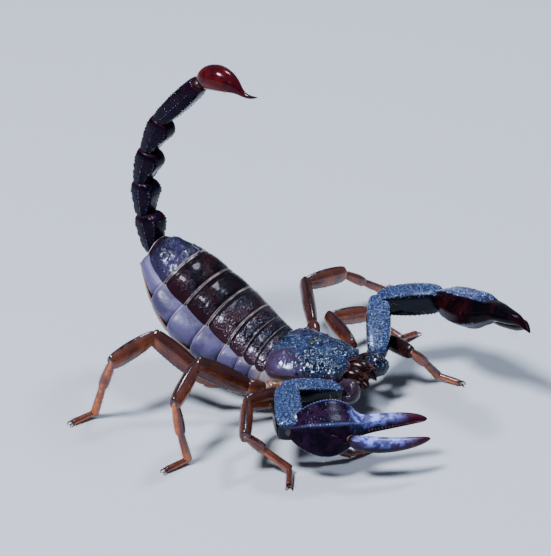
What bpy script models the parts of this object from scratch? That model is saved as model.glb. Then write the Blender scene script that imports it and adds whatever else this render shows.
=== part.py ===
"""A scorpion as a still, life-size model, with one solid for each plate and limb piece.

Sizes are in millimetres until a mesh is written, which is in metres. The head faces -Y, the
left side is +X and the feet stand on z = 0.
"""
import math
from collections import namedtuple

import bmesh
import bpy
from mathutils import Matrix, Vector

MM = 0.001
GAP = 0.3            # clear space between neighbouring solids
END_SHARE = 0.74     # width of a limb piece at its joints, as a share of its full width
UP = Vector((0, 0, 1))
SIDES = {"r": -1, "l": 1}

# Prosoma: the shield over the head, with the leg bases below it
HEAD_REAR = Vector((-0.4, 1.0, 0.0))
HEAD_YAW = 10.0
HEAD_LENGTH = 7.3
# forward place, half width, crest height, margin height, lean of the section in degrees
HeadStation = namedtuple("HeadStation", "forward half_width crest margin lean")
HEAD_STATIONS = (
    HeadStation(0.0, 3.75, 6.0, 4.75, 12),
    HeadStation(0.5, 4.05, 6.25, 4.8, 12),
    HeadStation(2.2, 4.0, 6.5, 4.9, 9),
    HeadStation(4.0, 3.55, 6.35, 5.0, 5),
    HeadStation(5.6, 3.05, 6.05, 5.0, 0),
    HeadStation(6.8, 2.65, 5.75, 4.95, 0),
    HeadStation(7.3, 2.25, 5.45, 4.95, 0),
)
HEAD_BELLY = 2.1     # height of the underside
HEAD_WAIST = 0.8     # width of the leg bases, as a share of the shield's
EYE_FORWARD = 3.3    # median eyes, from the shield's rear margin
EYE_SPREAD = 0.42
EYE_RADIUS = 0.34
EYE_HEIGHT = 6.45    # of the shield under the eyes

# Mesosoma: seven broad segments, raised towards the tail
TRUNK_START = Vector((-0.45, 1.32, 3.9))
TRUNK_LENGTHS = (0.95, 1.3, 1.65, 2.65, 2.9, 2.9, 3.35)
TRUNK_PITCHES = (13, 16, 19, 24, 29, 33, 34)
TRUNK_YAWS = (9, 7, 5, 3, 1, 0, 0, 0)
TRUNK_SHIFTS = (0.0, 0.08, 0.16, 0.28, 0.4, 0.45, 0.45, 0.45)   # back on to the middle line
# tergite half width, crest height, corner height, pleura half width, belly half width and depth
TrunkSection = namedtuple("TrunkSection", "plate crest corner pleura belly depth")
TRUNK_SECTIONS = (
    TrunkSection(3.5, 2.2, 1.0, 3.9, 2.5, 1.6),
    TrunkSection(3.55, 2.4, 1.05, 4.1, 2.7, 1.75),
    TrunkSection(3.6, 2.65, 1.15, 4.35, 2.9, 1.9),
    TrunkSection(3.65, 3.0, 1.3, 4.75, 3.1, 2.2),
    TrunkSection(3.65, 3.35, 1.45, 5.15, 3.3, 2.6),
    TrunkSection(3.5, 3.3, 1.35, 5.0, 3.2, 2.6),
    TrunkSection(3.2, 3.05, 1.05, 4.1, 2.7, 2.1),
    TrunkSection(1.9, 1.8, 0.5, 2.1, 1.4, 1.3),
)

# Metasoma: five tail segments in the middle plane, as (y, z) of their joints
TAIL_JOINTS = ((15.45, 11.15), (16.35, 14.4), (16.7, 17.7), (15.9, 21.1), (14.45, 24.6), (10.25, 29.1))
TAIL_HALF_WIDTHS = (1.2, 1.15, 1.12, 1.08, 1.08)
TAIL_HALF_DEPTHS = (1.05, 1.0, 1.02, 1.0, 0.98)
TAIL_TOOTH = 0.45    # how far the dorsal rear end of a segment stands up
VESICLE_PATH = ((10.0, 29.35), (9.1, 30.15), (7.9, 30.45), (6.7, 30.15), (5.95, 29.75))
VESICLE_RADII = (0.5, 1.08, 1.18, 0.9, 0.45)
STING_PATH = ((5.75, 29.62), (5.1, 29.35), (4.4, 29.3), (3.7, 29.5))
STING_RADII = (0.34, 0.3, 0.27, 0.25)

# Legs: hips in the head's own frame, then the lengths of trochanter, femur, patella, tibia,
# basitarsus and tarsus for each pair
HIPS = {1: (3.0, 5.9, 3.5), 2: (3.5, 4.2, 3.5), 3: (3.8, 2.1, 3.4), 4: (3.7, 0.0, 2.6)}
LEG_LENGTHS = {
    1: (1.9, 3.2, 4.1, 2.4, 2.4, 2.1),
    2: (2.0, 5.2, 4.6, 2.8, 2.9, 2.2),
    3: (3.6, 6.3, 5.1, 3.1, 3.2, 2.3),
    4: (5.3, 6.3, 4.9, 3.2, 3.4, 2.2),
}
# A limb piece: radius, then its near, middle and far size and its width as shares of that
LimbShape = namedtuple("LimbShape", "radius slim bulge far flat")
# headings are degrees from +X towards +Y, rises are degrees above the horizontal
LegPose = namedtuple("LegPose", "headings rises")
LEG_POSES = {
    "r4": LegPose((124, 111, 165, 89, 82, 158), (12, 39, -11, -68, -70, -7)),
    "r3": LegPose((146, 152, -167, -59, -9, 162), (14, 35, -14, -82, -74, -5)),
    "r2": LegPose((166, 165, -148, -22, -74, -147), (12, 11, -9, -47, -32, -9)),
    "r1": LegPose((-171, 133, -120, -72, -48, -20), (-21, 2, -4, -30, -20, -8)),
    "l4": LegPose((57, 80, 40, 62, 75, 40), (6, 14, -18, -50, -4, -6)),
    "l3": LegPose((41, 41, -12, -19, -16, 14), (12, 12, -9, -34, -34, -16)),
    "l2": LegPose((-15, 58, -18, -3, -98, -8), (20, 1, -13, -42, -13, -10)),
    "l1": LegPose((-22, 12, -106, -22, -23, -77), (-6, 11, 4, -45, -50, -9)),
}
LEG_RADII = {"femur": 0.86, "patella": 0.82, "tibia": 0.48, "basitarsus": 0.4, "tarsus": 0.34}
LEG_SCALES = {1: 0.88, 2: 0.95, 3: 1.0, 4: 1.0}     # thickness of each pair
FEMUR_SHARES = (0.62, 0.86, 0.8, 0.72, 1.0, 0.95, 0.72)     # hip, trochanter, then femur
FEMUR_FLATNESS = 0.8
FOOT_SIDES = 8
TOE_PAD = 0.55       # length of the flat under each foot
TOE_SINK = 0.02      # lets the sole of a round foot come down to the floor

# Pedipalps: joint places of trochanter, elbow, wrist and the two finger tips
PalpPose = namedtuple("PalpPose", "trochanter elbow wrist fixed_tip movable_tip roll")
PALP_POSES = {
    "r": PalpPose((-2.2, -7.9, 4.25), (-7.5, -4.5, 5.55), (-11.7, -7.6, 4.85),
                  (-2.4, -16.1, 4.4), (-4.3, -17.7, 3.6), 30),
    "l": PalpPose((3.7, -7.0, 3.9), (8.6, -3.95, 7.5), (12.8, -7.9, 7.2),
                  (9.0, -19.45, 9.0), (9.5, -19.6, 8.5), 42),
}
TROCHANTER_RADIUS = 1.2
TROCHANTER_LENGTH = 1.25     # from its middle to its outer end
ARM_SHAPE = LimbShape(1.12, 0.75, 1.0, 1.0, 1.0)     # femur of the pedipalp
PATELLA_SHAPE = LimbShape(1.32, 0.72, 1.04, 1.0, 1.0)
PALM_LENGTH = 6.1
PALM_HALF_DEPTH = 2.4
PALM_HALF_WIDTH = 1.7
WRIST_ROOM = 1.15     # from the wrist to the thick part of the palm

CHITIN_COLOURS = {
    "shield": (0.035, 0.045, 0.09),
    "tergite": (0.045, 0.018, 0.02),
    "tail": (0.03, 0.012, 0.02),
    "telson": (0.25, 0.02, 0.01),
    "leg": (0.2, 0.045, 0.015),
    "palp": (0.03, 0.035, 0.07),
    "hand": (0.05, 0.015, 0.03),
    "eye": (0.01, 0.01, 0.012),
    "pectine": (0.35, 0.25, 0.16),
}
CHITIN_ROUGHNESS = 0.3
CHITIN_METALLIC = 0.0


def clear_scene():
    """Take every object out of the scene."""
    for thing in list(bpy.data.objects):
        bpy.data.objects.remove(thing, do_unlink=True)


def chitin(kind):
    """The plain finish of one kind of plate."""
    name = "chitin_" + kind
    if name in bpy.data.materials:
        return bpy.data.materials[name]
    finish = bpy.data.materials.new(name)
    finish.use_nodes = True
    shader = finish.node_tree.nodes["Principled BSDF"]
    shader.inputs["Base Color"].default_value = (*CHITIN_COLOURS[kind], 1)
    shader.inputs["Roughness"].default_value = CHITIN_ROUGHNESS
    shader.inputs["Metallic"].default_value = CHITIN_METALLIC
    return finish


def turned(yaw, lean=0.0):
    """Side, up and forward directions of a section that is turned left and leans forward."""
    turn = Matrix.Rotation(math.radians(yaw), 3, "Z") @ Matrix.Rotation(math.radians(lean), 3, "X")
    return turn @ Vector((1, 0, 0)), turn @ UP, turn @ Vector((0, -1, 0))


def place_ring(centre, side, up, outline):
    """The points of an outline of (across, height) pairs, set round a centre."""
    return [centre + side * across + up * height for across, height in outline]


def oval(half_width, half_height, count=8, squareness=2.0):
    """A rounded outline, from round at squareness 2 to boxy above it."""
    outline = []
    for index in range(count):
        angle = (index + 0.5) * math.tau / count
        across = math.copysign(abs(math.cos(angle)) ** (2 / squareness), math.cos(angle))
        height = math.copysign(abs(math.sin(angle)) ** (2 / squareness), math.sin(angle))
        outline.append((half_width * across, half_height * height))
    return outline


def loft(name, rings, kind):
    """A closed solid through rings of equal count, with flat ends."""
    shape = bmesh.new()
    rows = [[shape.verts.new(point * MM) for point in ring] for ring in rings]
    count = len(rows[0])
    for row, after in zip(rows, rows[1:]):
        for index in range(count):
            follower = (index + 1) % count
            shape.faces.new((row[index], row[follower], after[follower], after[index]))
    shape.faces.new(list(reversed(rows[0])))
    shape.faces.new(rows[-1])
    bmesh.ops.recalc_face_normals(shape, faces=shape.faces)
    mesh = bpy.data.meshes.new(name)
    shape.to_mesh(mesh)
    shape.free()
    mesh.polygons.foreach_set("use_smooth", [True] * len(mesh.polygons))
    solid = bpy.data.objects.new(name, mesh)
    bpy.context.collection.objects.link(solid)
    solid.data.materials.append(chitin(kind))
    return solid


def path_frames(points):
    """Centre, side and up at each point of a path, mitred at its bends and without twist."""
    directions = [(after - before).normalized() for before, after in zip(points, points[1:])]
    frames = []
    up = UP
    for index, point in enumerate(points):
        entering = directions[max(index - 1, 0)]
        leaving = directions[min(index, len(directions) - 1)]
        along = (entering + leaving).normalized()
        up = (up - along * up.dot(along)).normalized()
        frames.append((point, along.cross(up), up))
    return frames


def slide(ring, along, cut):
    """Move a ring's points along a direction, on to the plane of a cut."""
    point, normal = cut
    return [place + along * ((point - place).dot(normal) / along.dot(normal)) for place in ring]


def mitre(before, joint, after, sign):
    """The plane that halves a bend, set half a gap before the joint (-1) or beyond it (+1)."""
    normal = ((joint - before).normalized() + (after - joint).normalized()).normalized()
    return joint + normal * (0.5 * GAP * sign), normal


def crown_room(before, joint, after, radius):
    """How far from a joint a limb piece can be at its full width."""
    half_bend = (joint - before).angle(after - joint) / 2
    return max(0.5 * radius, radius * math.tan(half_bend) + GAP)


def tube(name, points, sizes, kind, count=8, squareness=2.0, start_cut=None, end_cut=None):
    """A solid along a path, with a (half width, half height) at each point."""
    frames = path_frames(points)
    rings = [place_ring(centre, side, up, oval(width, height, count, squareness))
             for (centre, side, up), (width, height) in zip(frames, sizes)]
    if start_cut:
        rings[0] = slide(rings[0], (points[1] - points[0]).normalized(), start_cut)
    if end_cut:
        rings[-1] = slide(rings[-1], (points[-1] - points[-2]).normalized(), end_cut)
    return loft(name, rings, kind)


def limb(name, joints, shape, kind, count=10, squareness=2.0):
    """A limb piece between the two middle joints of four, mitred to the pieces beyond them."""
    before, start, end, after = joints
    along = (end - start).normalized()
    length = (end - start).length
    first = min(crown_room(before, start, end, shape.radius), 0.45 * length)
    last = min(crown_room(start, end, after, shape.radius), 0.45 * length)
    points = [start + along * place for place in (0.0, first, 0.5 * (first + length - last),
                                                  length - last, length)]
    shares = (END_SHARE * shape.slim, shape.slim, shape.bulge, shape.far, END_SHARE * shape.far)
    sizes = [(shape.radius * shape.flat * share, shape.radius * share) for share in shares]
    tube(name, points, sizes, kind, count, squareness,
         mitre(before, start, end, 1), mitre(start, end, after, -1))


def head_frame():
    """Side, up and forward directions of the head."""
    return turned(HEAD_YAW)


def head_place(across, forward, height):
    """A place given in the head's own frame, from the middle of the shield's rear margin."""
    side, _, ahead = head_frame()
    return HEAD_REAR + side * across + ahead * forward + UP * height


def head_outline(station):
    """Half of the head's section is crest, slope, margin, leg bases and underside."""
    rise = station.crest - station.margin
    waist = HEAD_WAIST * station.half_width
    half = (
        (0.0, station.crest),
        (0.4 * station.half_width, station.margin + 0.9 * rise),
        (0.76 * station.half_width, station.margin + 0.55 * rise),
        (station.half_width, station.margin),
        (0.97 * station.half_width, station.margin - 0.55),
        (waist, 0.5 * (station.margin + HEAD_BELLY)),
        (0.85 * waist, HEAD_BELLY + 0.4),
        (0.45 * waist, HEAD_BELLY),
        (0.0, HEAD_BELLY),
    )
    return mirrored(half)


def mirrored(half):
    """A whole outline from its left half, whose first and last points are on the middle line."""
    return list(half) + [(-across, height) for across, height in reversed(half[1:-1])]


def build_head():
    """The prosoma, its median eyes and the two chelicerae."""
    middle = 0.5 * (HEAD_STATIONS[0].crest + HEAD_BELLY)
    rings = []
    for station in HEAD_STATIONS:
        side, up, _ = turned(HEAD_YAW, station.lean)
        centre = head_place(0, station.forward, middle)
        outline = [(across, height - middle) for across, height in head_outline(station)]
        rings.append(place_ring(centre, side, up, outline))
    loft("prosoma", rings, "shield")
    for letter, sign in SIDES.items():
        build_eye("median_eye_" + letter, sign)
        build_chelicera("chelicera_" + letter, sign)


def build_eye(name, sign):
    """A low lens that stands just clear of the shield."""
    side, up, ahead = turned(HEAD_YAW, 5)
    foot = head_place(sign * EYE_SPREAD, EYE_FORWARD, EYE_HEIGHT + GAP)
    lean = (up + side * sign * 0.35).normalized()
    steps = ((0.0, 0.8), (0.12, 1.0), (0.3, 0.75), (0.38, 0.35))
    rings = []
    for rise, share in steps:
        rings.append(place_ring(foot + lean * rise, side, ahead,
                                oval(EYE_RADIUS * share, EYE_RADIUS * share, 10)))
    loft(name, rings, "eye")


def build_chelicera(name, sign):
    """One of the two small jaws in front of the shield."""
    places = ((0.78, HEAD_LENGTH + 0.32, 4.75), (0.78, 8.3, 4.75), (0.8, 9.0, 4.6), (0.7, 9.5, 4.3))
    points = [head_place(sign * across, forward, height) for across, forward, height in places]
    tube(name, points, ((0.58, 0.55), (0.6, 0.62), (0.52, 0.55), (0.28, 0.3)), "leg")


def trunk_outline(section):
    """Half of a body section is tergite, swollen pleura and flat belly plate."""
    rise = section.crest - section.corner
    half = (
        (0.0, section.crest),
        (0.4 * section.plate, section.corner + 0.91 * rise),
        (0.76 * section.plate, section.corner + 0.58 * rise),
        (section.plate, section.corner),
        (0.35 * section.plate + 0.65 * section.pleura, 0.5 * section.corner),
        (section.pleura, -0.2 * section.depth),
        (0.92 * section.pleura, -0.6 * section.depth),
        (section.belly, -0.95 * section.depth),
        (0.5 * section.belly, -section.depth),
        (0.0, -section.depth),
    )
    return mirrored(half)


def trunk_boundaries():
    """Centre of each of the eight boundaries between body segments."""
    places = [TRUNK_START.copy()]
    for length, pitch in zip(TRUNK_LENGTHS, TRUNK_PITCHES):
        rise = math.radians(pitch)
        places.append(places[-1] + Vector((0, math.cos(rise), math.sin(rise))) * length)
    return [place + Vector((shift, 0, 0)) for place, shift in zip(places, TRUNK_SHIFTS)]


def boundary_lean(index):
    """The lean of a boundary is halfway between its two segments."""
    before = TRUNK_PITCHES[max(index - 1, 0)]
    after = TRUNK_PITCHES[min(index, len(TRUNK_PITCHES) - 1)]
    return 0.5 * (before + after)


def blend_sections(first, second, share):
    """A body section between two others."""
    return TrunkSection(*(a + (b - a) * share for a, b in zip(first, second)))


def build_trunk():
    """The seven segments of the mesosoma."""
    places = trunk_boundaries()
    for index, length in enumerate(TRUNK_LENGTHS):
        edge = 0.5 * GAP / length
        rings = []
        for share, size in ((edge, 0.975), (0.3, 1.0), (0.7, 1.01), (1 - edge, 0.99)):
            lean = boundary_lean(index) + (boundary_lean(index + 1) - boundary_lean(index)) * share
            yaw = TRUNK_YAWS[index] + (TRUNK_YAWS[index + 1] - TRUNK_YAWS[index]) * share
            side, up, _ = turned(yaw, lean)
            section = blend_sections(TRUNK_SECTIONS[index], TRUNK_SECTIONS[index + 1], share)
            outline = [(across * size, height * size) for across, height in trunk_outline(section)]
            centre = places[index].lerp(places[index + 1], share)
            rings.append(place_ring(centre, side, up, outline))
        loft("mesosoma_%d" % (index + 1), rings, "tergite")


def build_pectines():
    """The two sensory combs under the front of the body, as plain bars."""
    for letter, sign in SIDES.items():
        points = [Vector((sign * across - 0.3, back, height))
                  for across, back, height in ((0.55, 1.6, 1.55), (1.9, 2.1, 1.6), (3.1, 3.2, 1.8))]
        tube("pectine_" + letter, points, ((0.42, 0.26), (0.5, 0.26), (0.3, 0.25)), "pectine")


def tail_point(pair):
    """A place in the middle plane."""
    return Vector((0, pair[0], pair[1]))


def build_tail():
    """The five tail segments, the vesicle and the sting."""
    joints = [tail_point(pair) for pair in TAIL_JOINTS]
    for index in range(5):
        along = (joints[index + 1] - joints[index]).normalized()
        inward = Vector((1, 0, 0)).cross(along)
        length = (joints[index + 1] - joints[index]).length
        width = TAIL_HALF_WIDTHS[index]
        depth = TAIL_HALF_DEPTHS[index]
        front = joints[index] + along * GAP * 0.8
        steps = ((0.0, 0.62, 0.0), (0.1, 0.88, 0.0), (0.45, 0.96, 0.0), (0.82, 1.0, 0.6),
                 (0.93, 0.96, 1.0), (1.0, 0.7, 0.3))
        span = length - GAP * 1.6
        rings = []
        for share, size, tooth in steps:
            outline = [(across, height + (TAIL_TOOTH * tooth if height > 0 else 0))
                       for across, height in oval(width * size, depth * size, 10, 2.4)]
            rings.append(place_ring(front + along * span * share, Vector((1, 0, 0)), inward, outline))
        loft("metasoma_%d" % (index + 1), rings, "tail")
    tube("telson_vesicle", [tail_point(pair) for pair in VESICLE_PATH],
         [(radius, radius) for radius in VESICLE_RADII], "telson", count=10)
    tube("telson_sting", [tail_point(pair) for pair in STING_PATH],
         [(radius, radius) for radius in STING_RADII], "telson", count=8)


def leg_joints(letter, number):
    """The seven joint places of one leg, from hip to toe."""
    across, forward, height = HIPS[number]
    pose = LEG_POSES["%s%d" % (letter, number)]
    places = [head_place(SIDES[letter] * across, forward, height)]
    for length, heading, rise in zip(LEG_LENGTHS[number], pose.headings, pose.rises):
        turn = math.radians(heading)
        tilt = math.radians(rise)
        step = Vector((math.cos(tilt) * math.cos(turn), math.cos(tilt) * math.sin(turn), math.sin(tilt)))
        places.append(places[-1] + step * length)
    return places


def build_leg(letter, number):
    """Trochanter with femur, patella, and the lower leg down to the toe."""
    name = "leg_%s%d_" % (letter, number)
    hip, trochanter, knee, ankle, tibia, basitarsus, toe = leg_joints(letter, number)
    radius = LEG_RADII["femur"] * LEG_SCALES[number]
    last = crown_room(trochanter, knee, ankle, radius)
    thigh = (knee - trochanter).normalized()
    points = [hip, hip.lerp(trochanter, 0.5), hip.lerp(trochanter, 0.85),
              trochanter + thigh * 0.6, trochanter.lerp(knee, 0.45), knee - thigh * last, knee]
    sizes = [(radius * share * FEMUR_FLATNESS, radius * share) for share in FEMUR_SHARES]
    tube(name + "femur", points, sizes, "leg", 10, end_cut=mitre(trochanter, knee, ankle, -1))
    shape = LimbShape(LEG_RADII["patella"] * LEG_SCALES[number], 0.95, 1.0, 0.8, 0.9)
    limb(name + "patella", (trochanter, knee, ankle, tibia), shape, "leg")
    build_lower_leg(name + "foot", ankle, tibia, basitarsus, toe, knee)


def build_lower_leg(name, ankle, tibia, basitarsus, toe, knee):
    """Tibia, basitarsus and tarsus in one solid that ends in a small flat on the floor."""
    radius = LEG_RADII["tibia"]
    slim = LEG_RADII["basitarsus"]
    foot = LEG_RADII["tarsus"]
    along = (tibia - ankle).normalized()
    room = crown_room(knee, ankle, tibia, radius)
    ahead = (toe - basitarsus)
    ahead.z = 0
    ahead.normalize()
    pad = foot * math.cos(math.pi / FOOT_SIDES) - TOE_SINK
    toe = Vector((toe.x, toe.y, pad))
    heel = toe - ahead * TOE_PAD
    points = [toe, heel, basitarsus.lerp(heel, 0.5), basitarsus, tibia.lerp(basitarsus, 0.5), tibia,
              ankle.lerp(tibia, 0.55), ankle + along * room, ankle]
    radii = (foot * 0.9, foot, foot, slim * 0.85, slim, radius * 0.8, radius, radius, radius * 0.8)
    solid = tube(name, points, [(size, size) for size in radii], "leg", FOOT_SIDES,
                 end_cut=mitre(knee, ankle, tibia, 1))
    flatten_sole(solid.data, (pad - 0.55 * foot) * MM)


def flatten_sole(mesh, reach):
    """Bring the low side of the first two rings, heel and toe, down to the floor."""
    for vertex in mesh.vertices:
        vertex.co.z = max(vertex.co.z, 0.0)
    for vertex in mesh.vertices[:2 * FOOT_SIDES]:
        if vertex.co.z < reach:
            vertex.co.z = 0.0


def build_palp(letter):
    """Trochanter, femur, patella, hand with its fixed finger, and movable finger."""
    pose = PALP_POSES[letter]
    name = "palp_%s_" % letter
    trochanter, elbow, wrist = (Vector(pose.trochanter), Vector(pose.elbow), Vector(pose.wrist))
    hand = 0.5 * (Vector(pose.fixed_tip) + Vector(pose.movable_tip)) - wrist
    build_palp_base(name, letter, trochanter, elbow)
    outward = (elbow - trochanter).normalized()
    start = trochanter + outward * (TROCHANTER_LENGTH + 0.5 * GAP)
    limb(name + "femur", (trochanter, start, elbow, wrist), ARM_SHAPE, "palp", 12, 3.0)
    limb(name + "patella", (trochanter, elbow, wrist, wrist + hand), PATELLA_SHAPE, "palp", 12, 2.8)
    build_hand(name, pose, wrist, hand, mitre(elbow, wrist, wrist + hand, 1))


def build_palp_base(name, letter, trochanter, elbow):
    """The ball-like trochanter with the short coxa behind it."""
    socket = head_place(SIDES[letter] * 2.0, HEAD_LENGTH + 0.25, 3.7)
    outward = (elbow - trochanter).normalized()
    points = [socket, socket.lerp(trochanter, 0.45), trochanter, trochanter + outward * 0.75,
              trochanter + outward * TROCHANTER_LENGTH]
    shares = (0.6, 0.85, 1.0, 0.92, 0.68)
    sizes = [(TROCHANTER_RADIUS * share, TROCHANTER_RADIUS * share) for share in shares]
    tube(name + "trochanter", points, sizes, "palp", 10)


def build_hand(name, pose, wrist, hand, cut):
    """Palm with the inner finger in one solid, and the outer finger beside it."""
    forward = hand.normalized()
    inward = (Vector(pose.fixed_tip) - Vector(pose.movable_tip))
    inward = (inward - forward * inward.dot(forward)).normalized()
    level = UP.cross(forward).normalized()
    level = level if level.dot(inward) > 0 else -level
    upright = (UP - forward * UP.dot(forward)).normalized()
    tilt = math.radians(pose.roll)
    deep = upright * math.cos(tilt) + level * math.sin(tilt)
    wide = level * math.cos(tilt) - upright * math.sin(tilt)
    fixed_tip = Vector(pose.fixed_tip)
    movable_tip = Vector(pose.movable_tip)
    knuckle = wrist + forward * PALM_LENGTH
    fixed_root = knuckle + inward * 0.35
    # place, half width, half depth
    palm = ((wrist, 0.75, 0.8), (wrist + forward * WRIST_ROOM, 1.2, 1.5),
            (wrist + forward * 2.4, 1.0 * PALM_HALF_WIDTH, 0.95 * PALM_HALF_DEPTH),
            (wrist + forward * 4.0 + inward * 0.1, 1.0 * PALM_HALF_WIDTH, PALM_HALF_DEPTH),
            (wrist + forward * 5.3 + inward * 0.35, 0.92 * PALM_HALF_WIDTH, 0.8 * PALM_HALF_DEPTH),
            (fixed_root, 0.85, 1.05))
    rings = [place_ring(centre, wide, deep, oval(width, depth, 12, 2.5)) for centre, width, depth in palm]
    rings[0] = slide(rings[0], forward, cut)
    for share, size in ((0.2, 0.72), (0.45, 0.66), (0.75, 0.52), (0.93, 0.4), (1.0, 0.22)):
        bow = inward * 0.12 * math.sin(math.pi * share)
        centre = fixed_root.lerp(fixed_tip, share) + bow
        rings.append(place_ring(centre, wide, deep, oval(size, size * 1.1, 12, 2.2)))
    loft(name + "hand", rings, "hand")
    movable_root = wrist + forward * (PALM_LENGTH + 0.1) - inward * 1.9
    rings = []
    for share, size in ((0.0, 0.55), (0.06, 0.75), (0.25, 0.7), (0.5, 0.62), (0.78, 0.5), (0.94, 0.38),
                        (1.0, 0.22)):
        bow = inward * -0.6 * math.sin(math.pi * share)
        centre = movable_root.lerp(movable_tip, share) + bow
        rings.append(place_ring(centre, wide, deep, oval(size * 0.95, size * 1.05, 10, 2.2)))
    loft(name + "finger", rings, "hand")


def centre_on_floor():
    """Move every mesh so that the middle of the whole model's base is the origin."""
    solids = [thing for thing in bpy.data.objects if thing.type == "MESH"]
    corners = [vertex.co for solid in solids for vertex in solid.data.vertices]
    middle = Vector((
        0.5 * (min(c.x for c in corners) + max(c.x for c in corners)),
        0.5 * (min(c.y for c in corners) + max(c.y for c in corners)),
        min(c.z for c in corners),
    ))
    for solid in solids:
        solid.data.transform(Matrix.Translation(-middle))
    print("middle of the base, in mm:", [round(value / MM, 3) for value in middle])


def main():
    """Build the whole animal."""
    clear_scene()
    build_head()
    build_trunk()
    build_pectines()
    build_tail()
    for letter in SIDES:
        build_palp(letter)
        for number in HIPS:
            build_leg(letter, number)
    centre_on_floor()


main()
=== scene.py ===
"""A forest scorpion, life size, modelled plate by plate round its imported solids.

Sizes are in millimetres in the animal's own working frame, in which the head faces -Y and the
left side is +X. Every mesh is written in metres in the row frame, through place().
"""
from __future__ import annotations

import logging
import math
import random
from dataclasses import dataclass, field, replace
from enum import Enum
from functools import cache
from typing import Callable, NamedTuple, Sequence

import bpy
import numpy as np
from mathutils import Matrix, Vector, noise


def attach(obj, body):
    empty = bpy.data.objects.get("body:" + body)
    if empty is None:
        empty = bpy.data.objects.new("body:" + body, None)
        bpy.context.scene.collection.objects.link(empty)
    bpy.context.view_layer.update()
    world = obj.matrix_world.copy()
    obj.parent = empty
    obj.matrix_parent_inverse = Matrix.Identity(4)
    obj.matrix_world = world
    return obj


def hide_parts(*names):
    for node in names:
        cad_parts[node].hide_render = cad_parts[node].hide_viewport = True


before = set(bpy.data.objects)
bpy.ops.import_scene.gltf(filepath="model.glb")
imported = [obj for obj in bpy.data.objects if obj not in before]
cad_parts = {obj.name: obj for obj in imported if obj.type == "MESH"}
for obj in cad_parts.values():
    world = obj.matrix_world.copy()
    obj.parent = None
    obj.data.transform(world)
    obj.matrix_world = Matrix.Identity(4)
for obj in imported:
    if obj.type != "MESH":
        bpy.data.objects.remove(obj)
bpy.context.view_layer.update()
LOG = logging.getLogger("scorpion")

Piece = bpy.types.Object
Socket = bpy.types.NodeSocket
Tree = bpy.types.ShaderNodeTree
Colour = tuple[float, float, float]
Keels = Sequence[tuple[float, float, float]]
Outline = Sequence[tuple[float, float]]
Span = tuple[float, float]
Value = Socket | float | Colour

MM = 0.001
MIDDLE = Vector((2.956, 1.061, 0.0))     # middle of the base, in the working frame
UP = Vector((0, 0, 1))
LEFT = Vector((1, 0, 0))
FLOOR_GAP = 0.02 * MM     # no hair or bead comes nearer to the floor
SMALL = 1e-6
CREASE_ANGLE = 50.0
WEAR_SCALE = 2.7       # of the gloss patches against the colour patches
COAT_ROUGHNESS = 0.08
RELIEF_DEPTH = 0.00006
SIDES = {"r": -1, "l": 1}


# ---------------------------------------------------------------- the animal's plan

HEAD_REAR = Vector((-0.4, 1.0, 0.0))
HEAD_YAW = 10.0
HEAD_LENGTH = 7.3
# forward place, half width, crest height, margin height
HEAD_STATIONS = (
    (0.0, 3.75, 6.0, 4.75), (0.5, 4.05, 6.25, 4.8), (2.2, 4.0, 6.5, 4.9), (4.0, 3.55, 6.35, 5.0),
    (5.6, 3.05, 6.05, 5.0), (6.8, 2.65, 5.75, 4.95), (7.3, 2.25, 5.45, 4.95),
)
HEAD_BELLY = 2.1
PLATE_WRAP = 0.985     # share of a half turn that the shield spans

TRUNK_START = Vector((-0.45, 1.32, 3.9))
TRUNK_LENGTHS = (0.95, 1.3, 1.65, 2.65, 2.9, 2.9, 3.35)
TRUNK_PITCHES = (13, 16, 19, 24, 29, 33, 34)
TRUNK_YAWS = (9, 7, 5, 3, 1, 0, 0, 0)
TRUNK_SHIFTS = (0.0, 0.08, 0.16, 0.28, 0.4, 0.45, 0.45, 0.45)
# tergite half width, crest height, corner height, pleura half width, belly half width and depth
TRUNK_SECTIONS = (
    (3.5, 2.2, 1.0, 3.9, 2.5, 1.6), (3.55, 2.4, 1.05, 4.1, 2.7, 1.75),
    (3.6, 2.65, 1.15, 4.35, 2.9, 1.9), (3.65, 3.0, 1.3, 4.75, 3.1, 2.2),
    (3.65, 3.35, 1.45, 5.15, 3.3, 2.6), (3.5, 3.3, 1.35, 5.0, 3.2, 2.6),
    (3.2, 3.05, 1.05, 4.1, 2.7, 2.1), (1.9, 1.8, 0.5, 2.1, 1.4, 1.3),
)
SEGMENTS = len(TRUNK_LENGTHS)

TAIL_JOINTS = ((15.45, 11.15), (16.35, 14.4), (16.7, 17.7), (15.9, 21.1), (14.45, 24.6), (10.25, 29.1))
TAIL_HALF_WIDTHS = (1.2, 1.15, 1.12, 1.08, 1.08)
TAIL_HALF_DEPTHS = (1.05, 1.0, 1.02, 1.0, 0.98)
TELSON_PATH = ((10.0, 29.35), (9.1, 30.15), (7.9, 30.45), (6.7, 30.15), (5.95, 29.8), (5.5, 29.5),
               (5.0, 29.33), (4.4, 29.3), (3.7, 29.5))
TELSON_RADII = (0.7, 1.2, 1.28, 0.98, 0.55, 0.32, 0.23, 0.16, 0.035)
TELSON_BULGES = (0.0, 0.02, 0.05, 0.03, 0.0, 0.0, 0.0, 0.0, 0.0)

HIPS = {1: (3.0, 5.9, 3.5), 2: (3.5, 4.2, 3.5), 3: (3.8, 2.1, 3.4), 4: (3.7, 0.0, 2.6)}
LEG_LENGTHS = {
    1: (1.9, 3.2, 4.1, 2.4, 2.4, 2.1), 2: (2.0, 5.2, 4.6, 2.8, 2.9, 2.2),
    3: (3.6, 6.3, 5.1, 3.1, 3.2, 2.3), 4: (5.3, 6.3, 4.9, 3.2, 3.4, 2.2),
}
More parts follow.
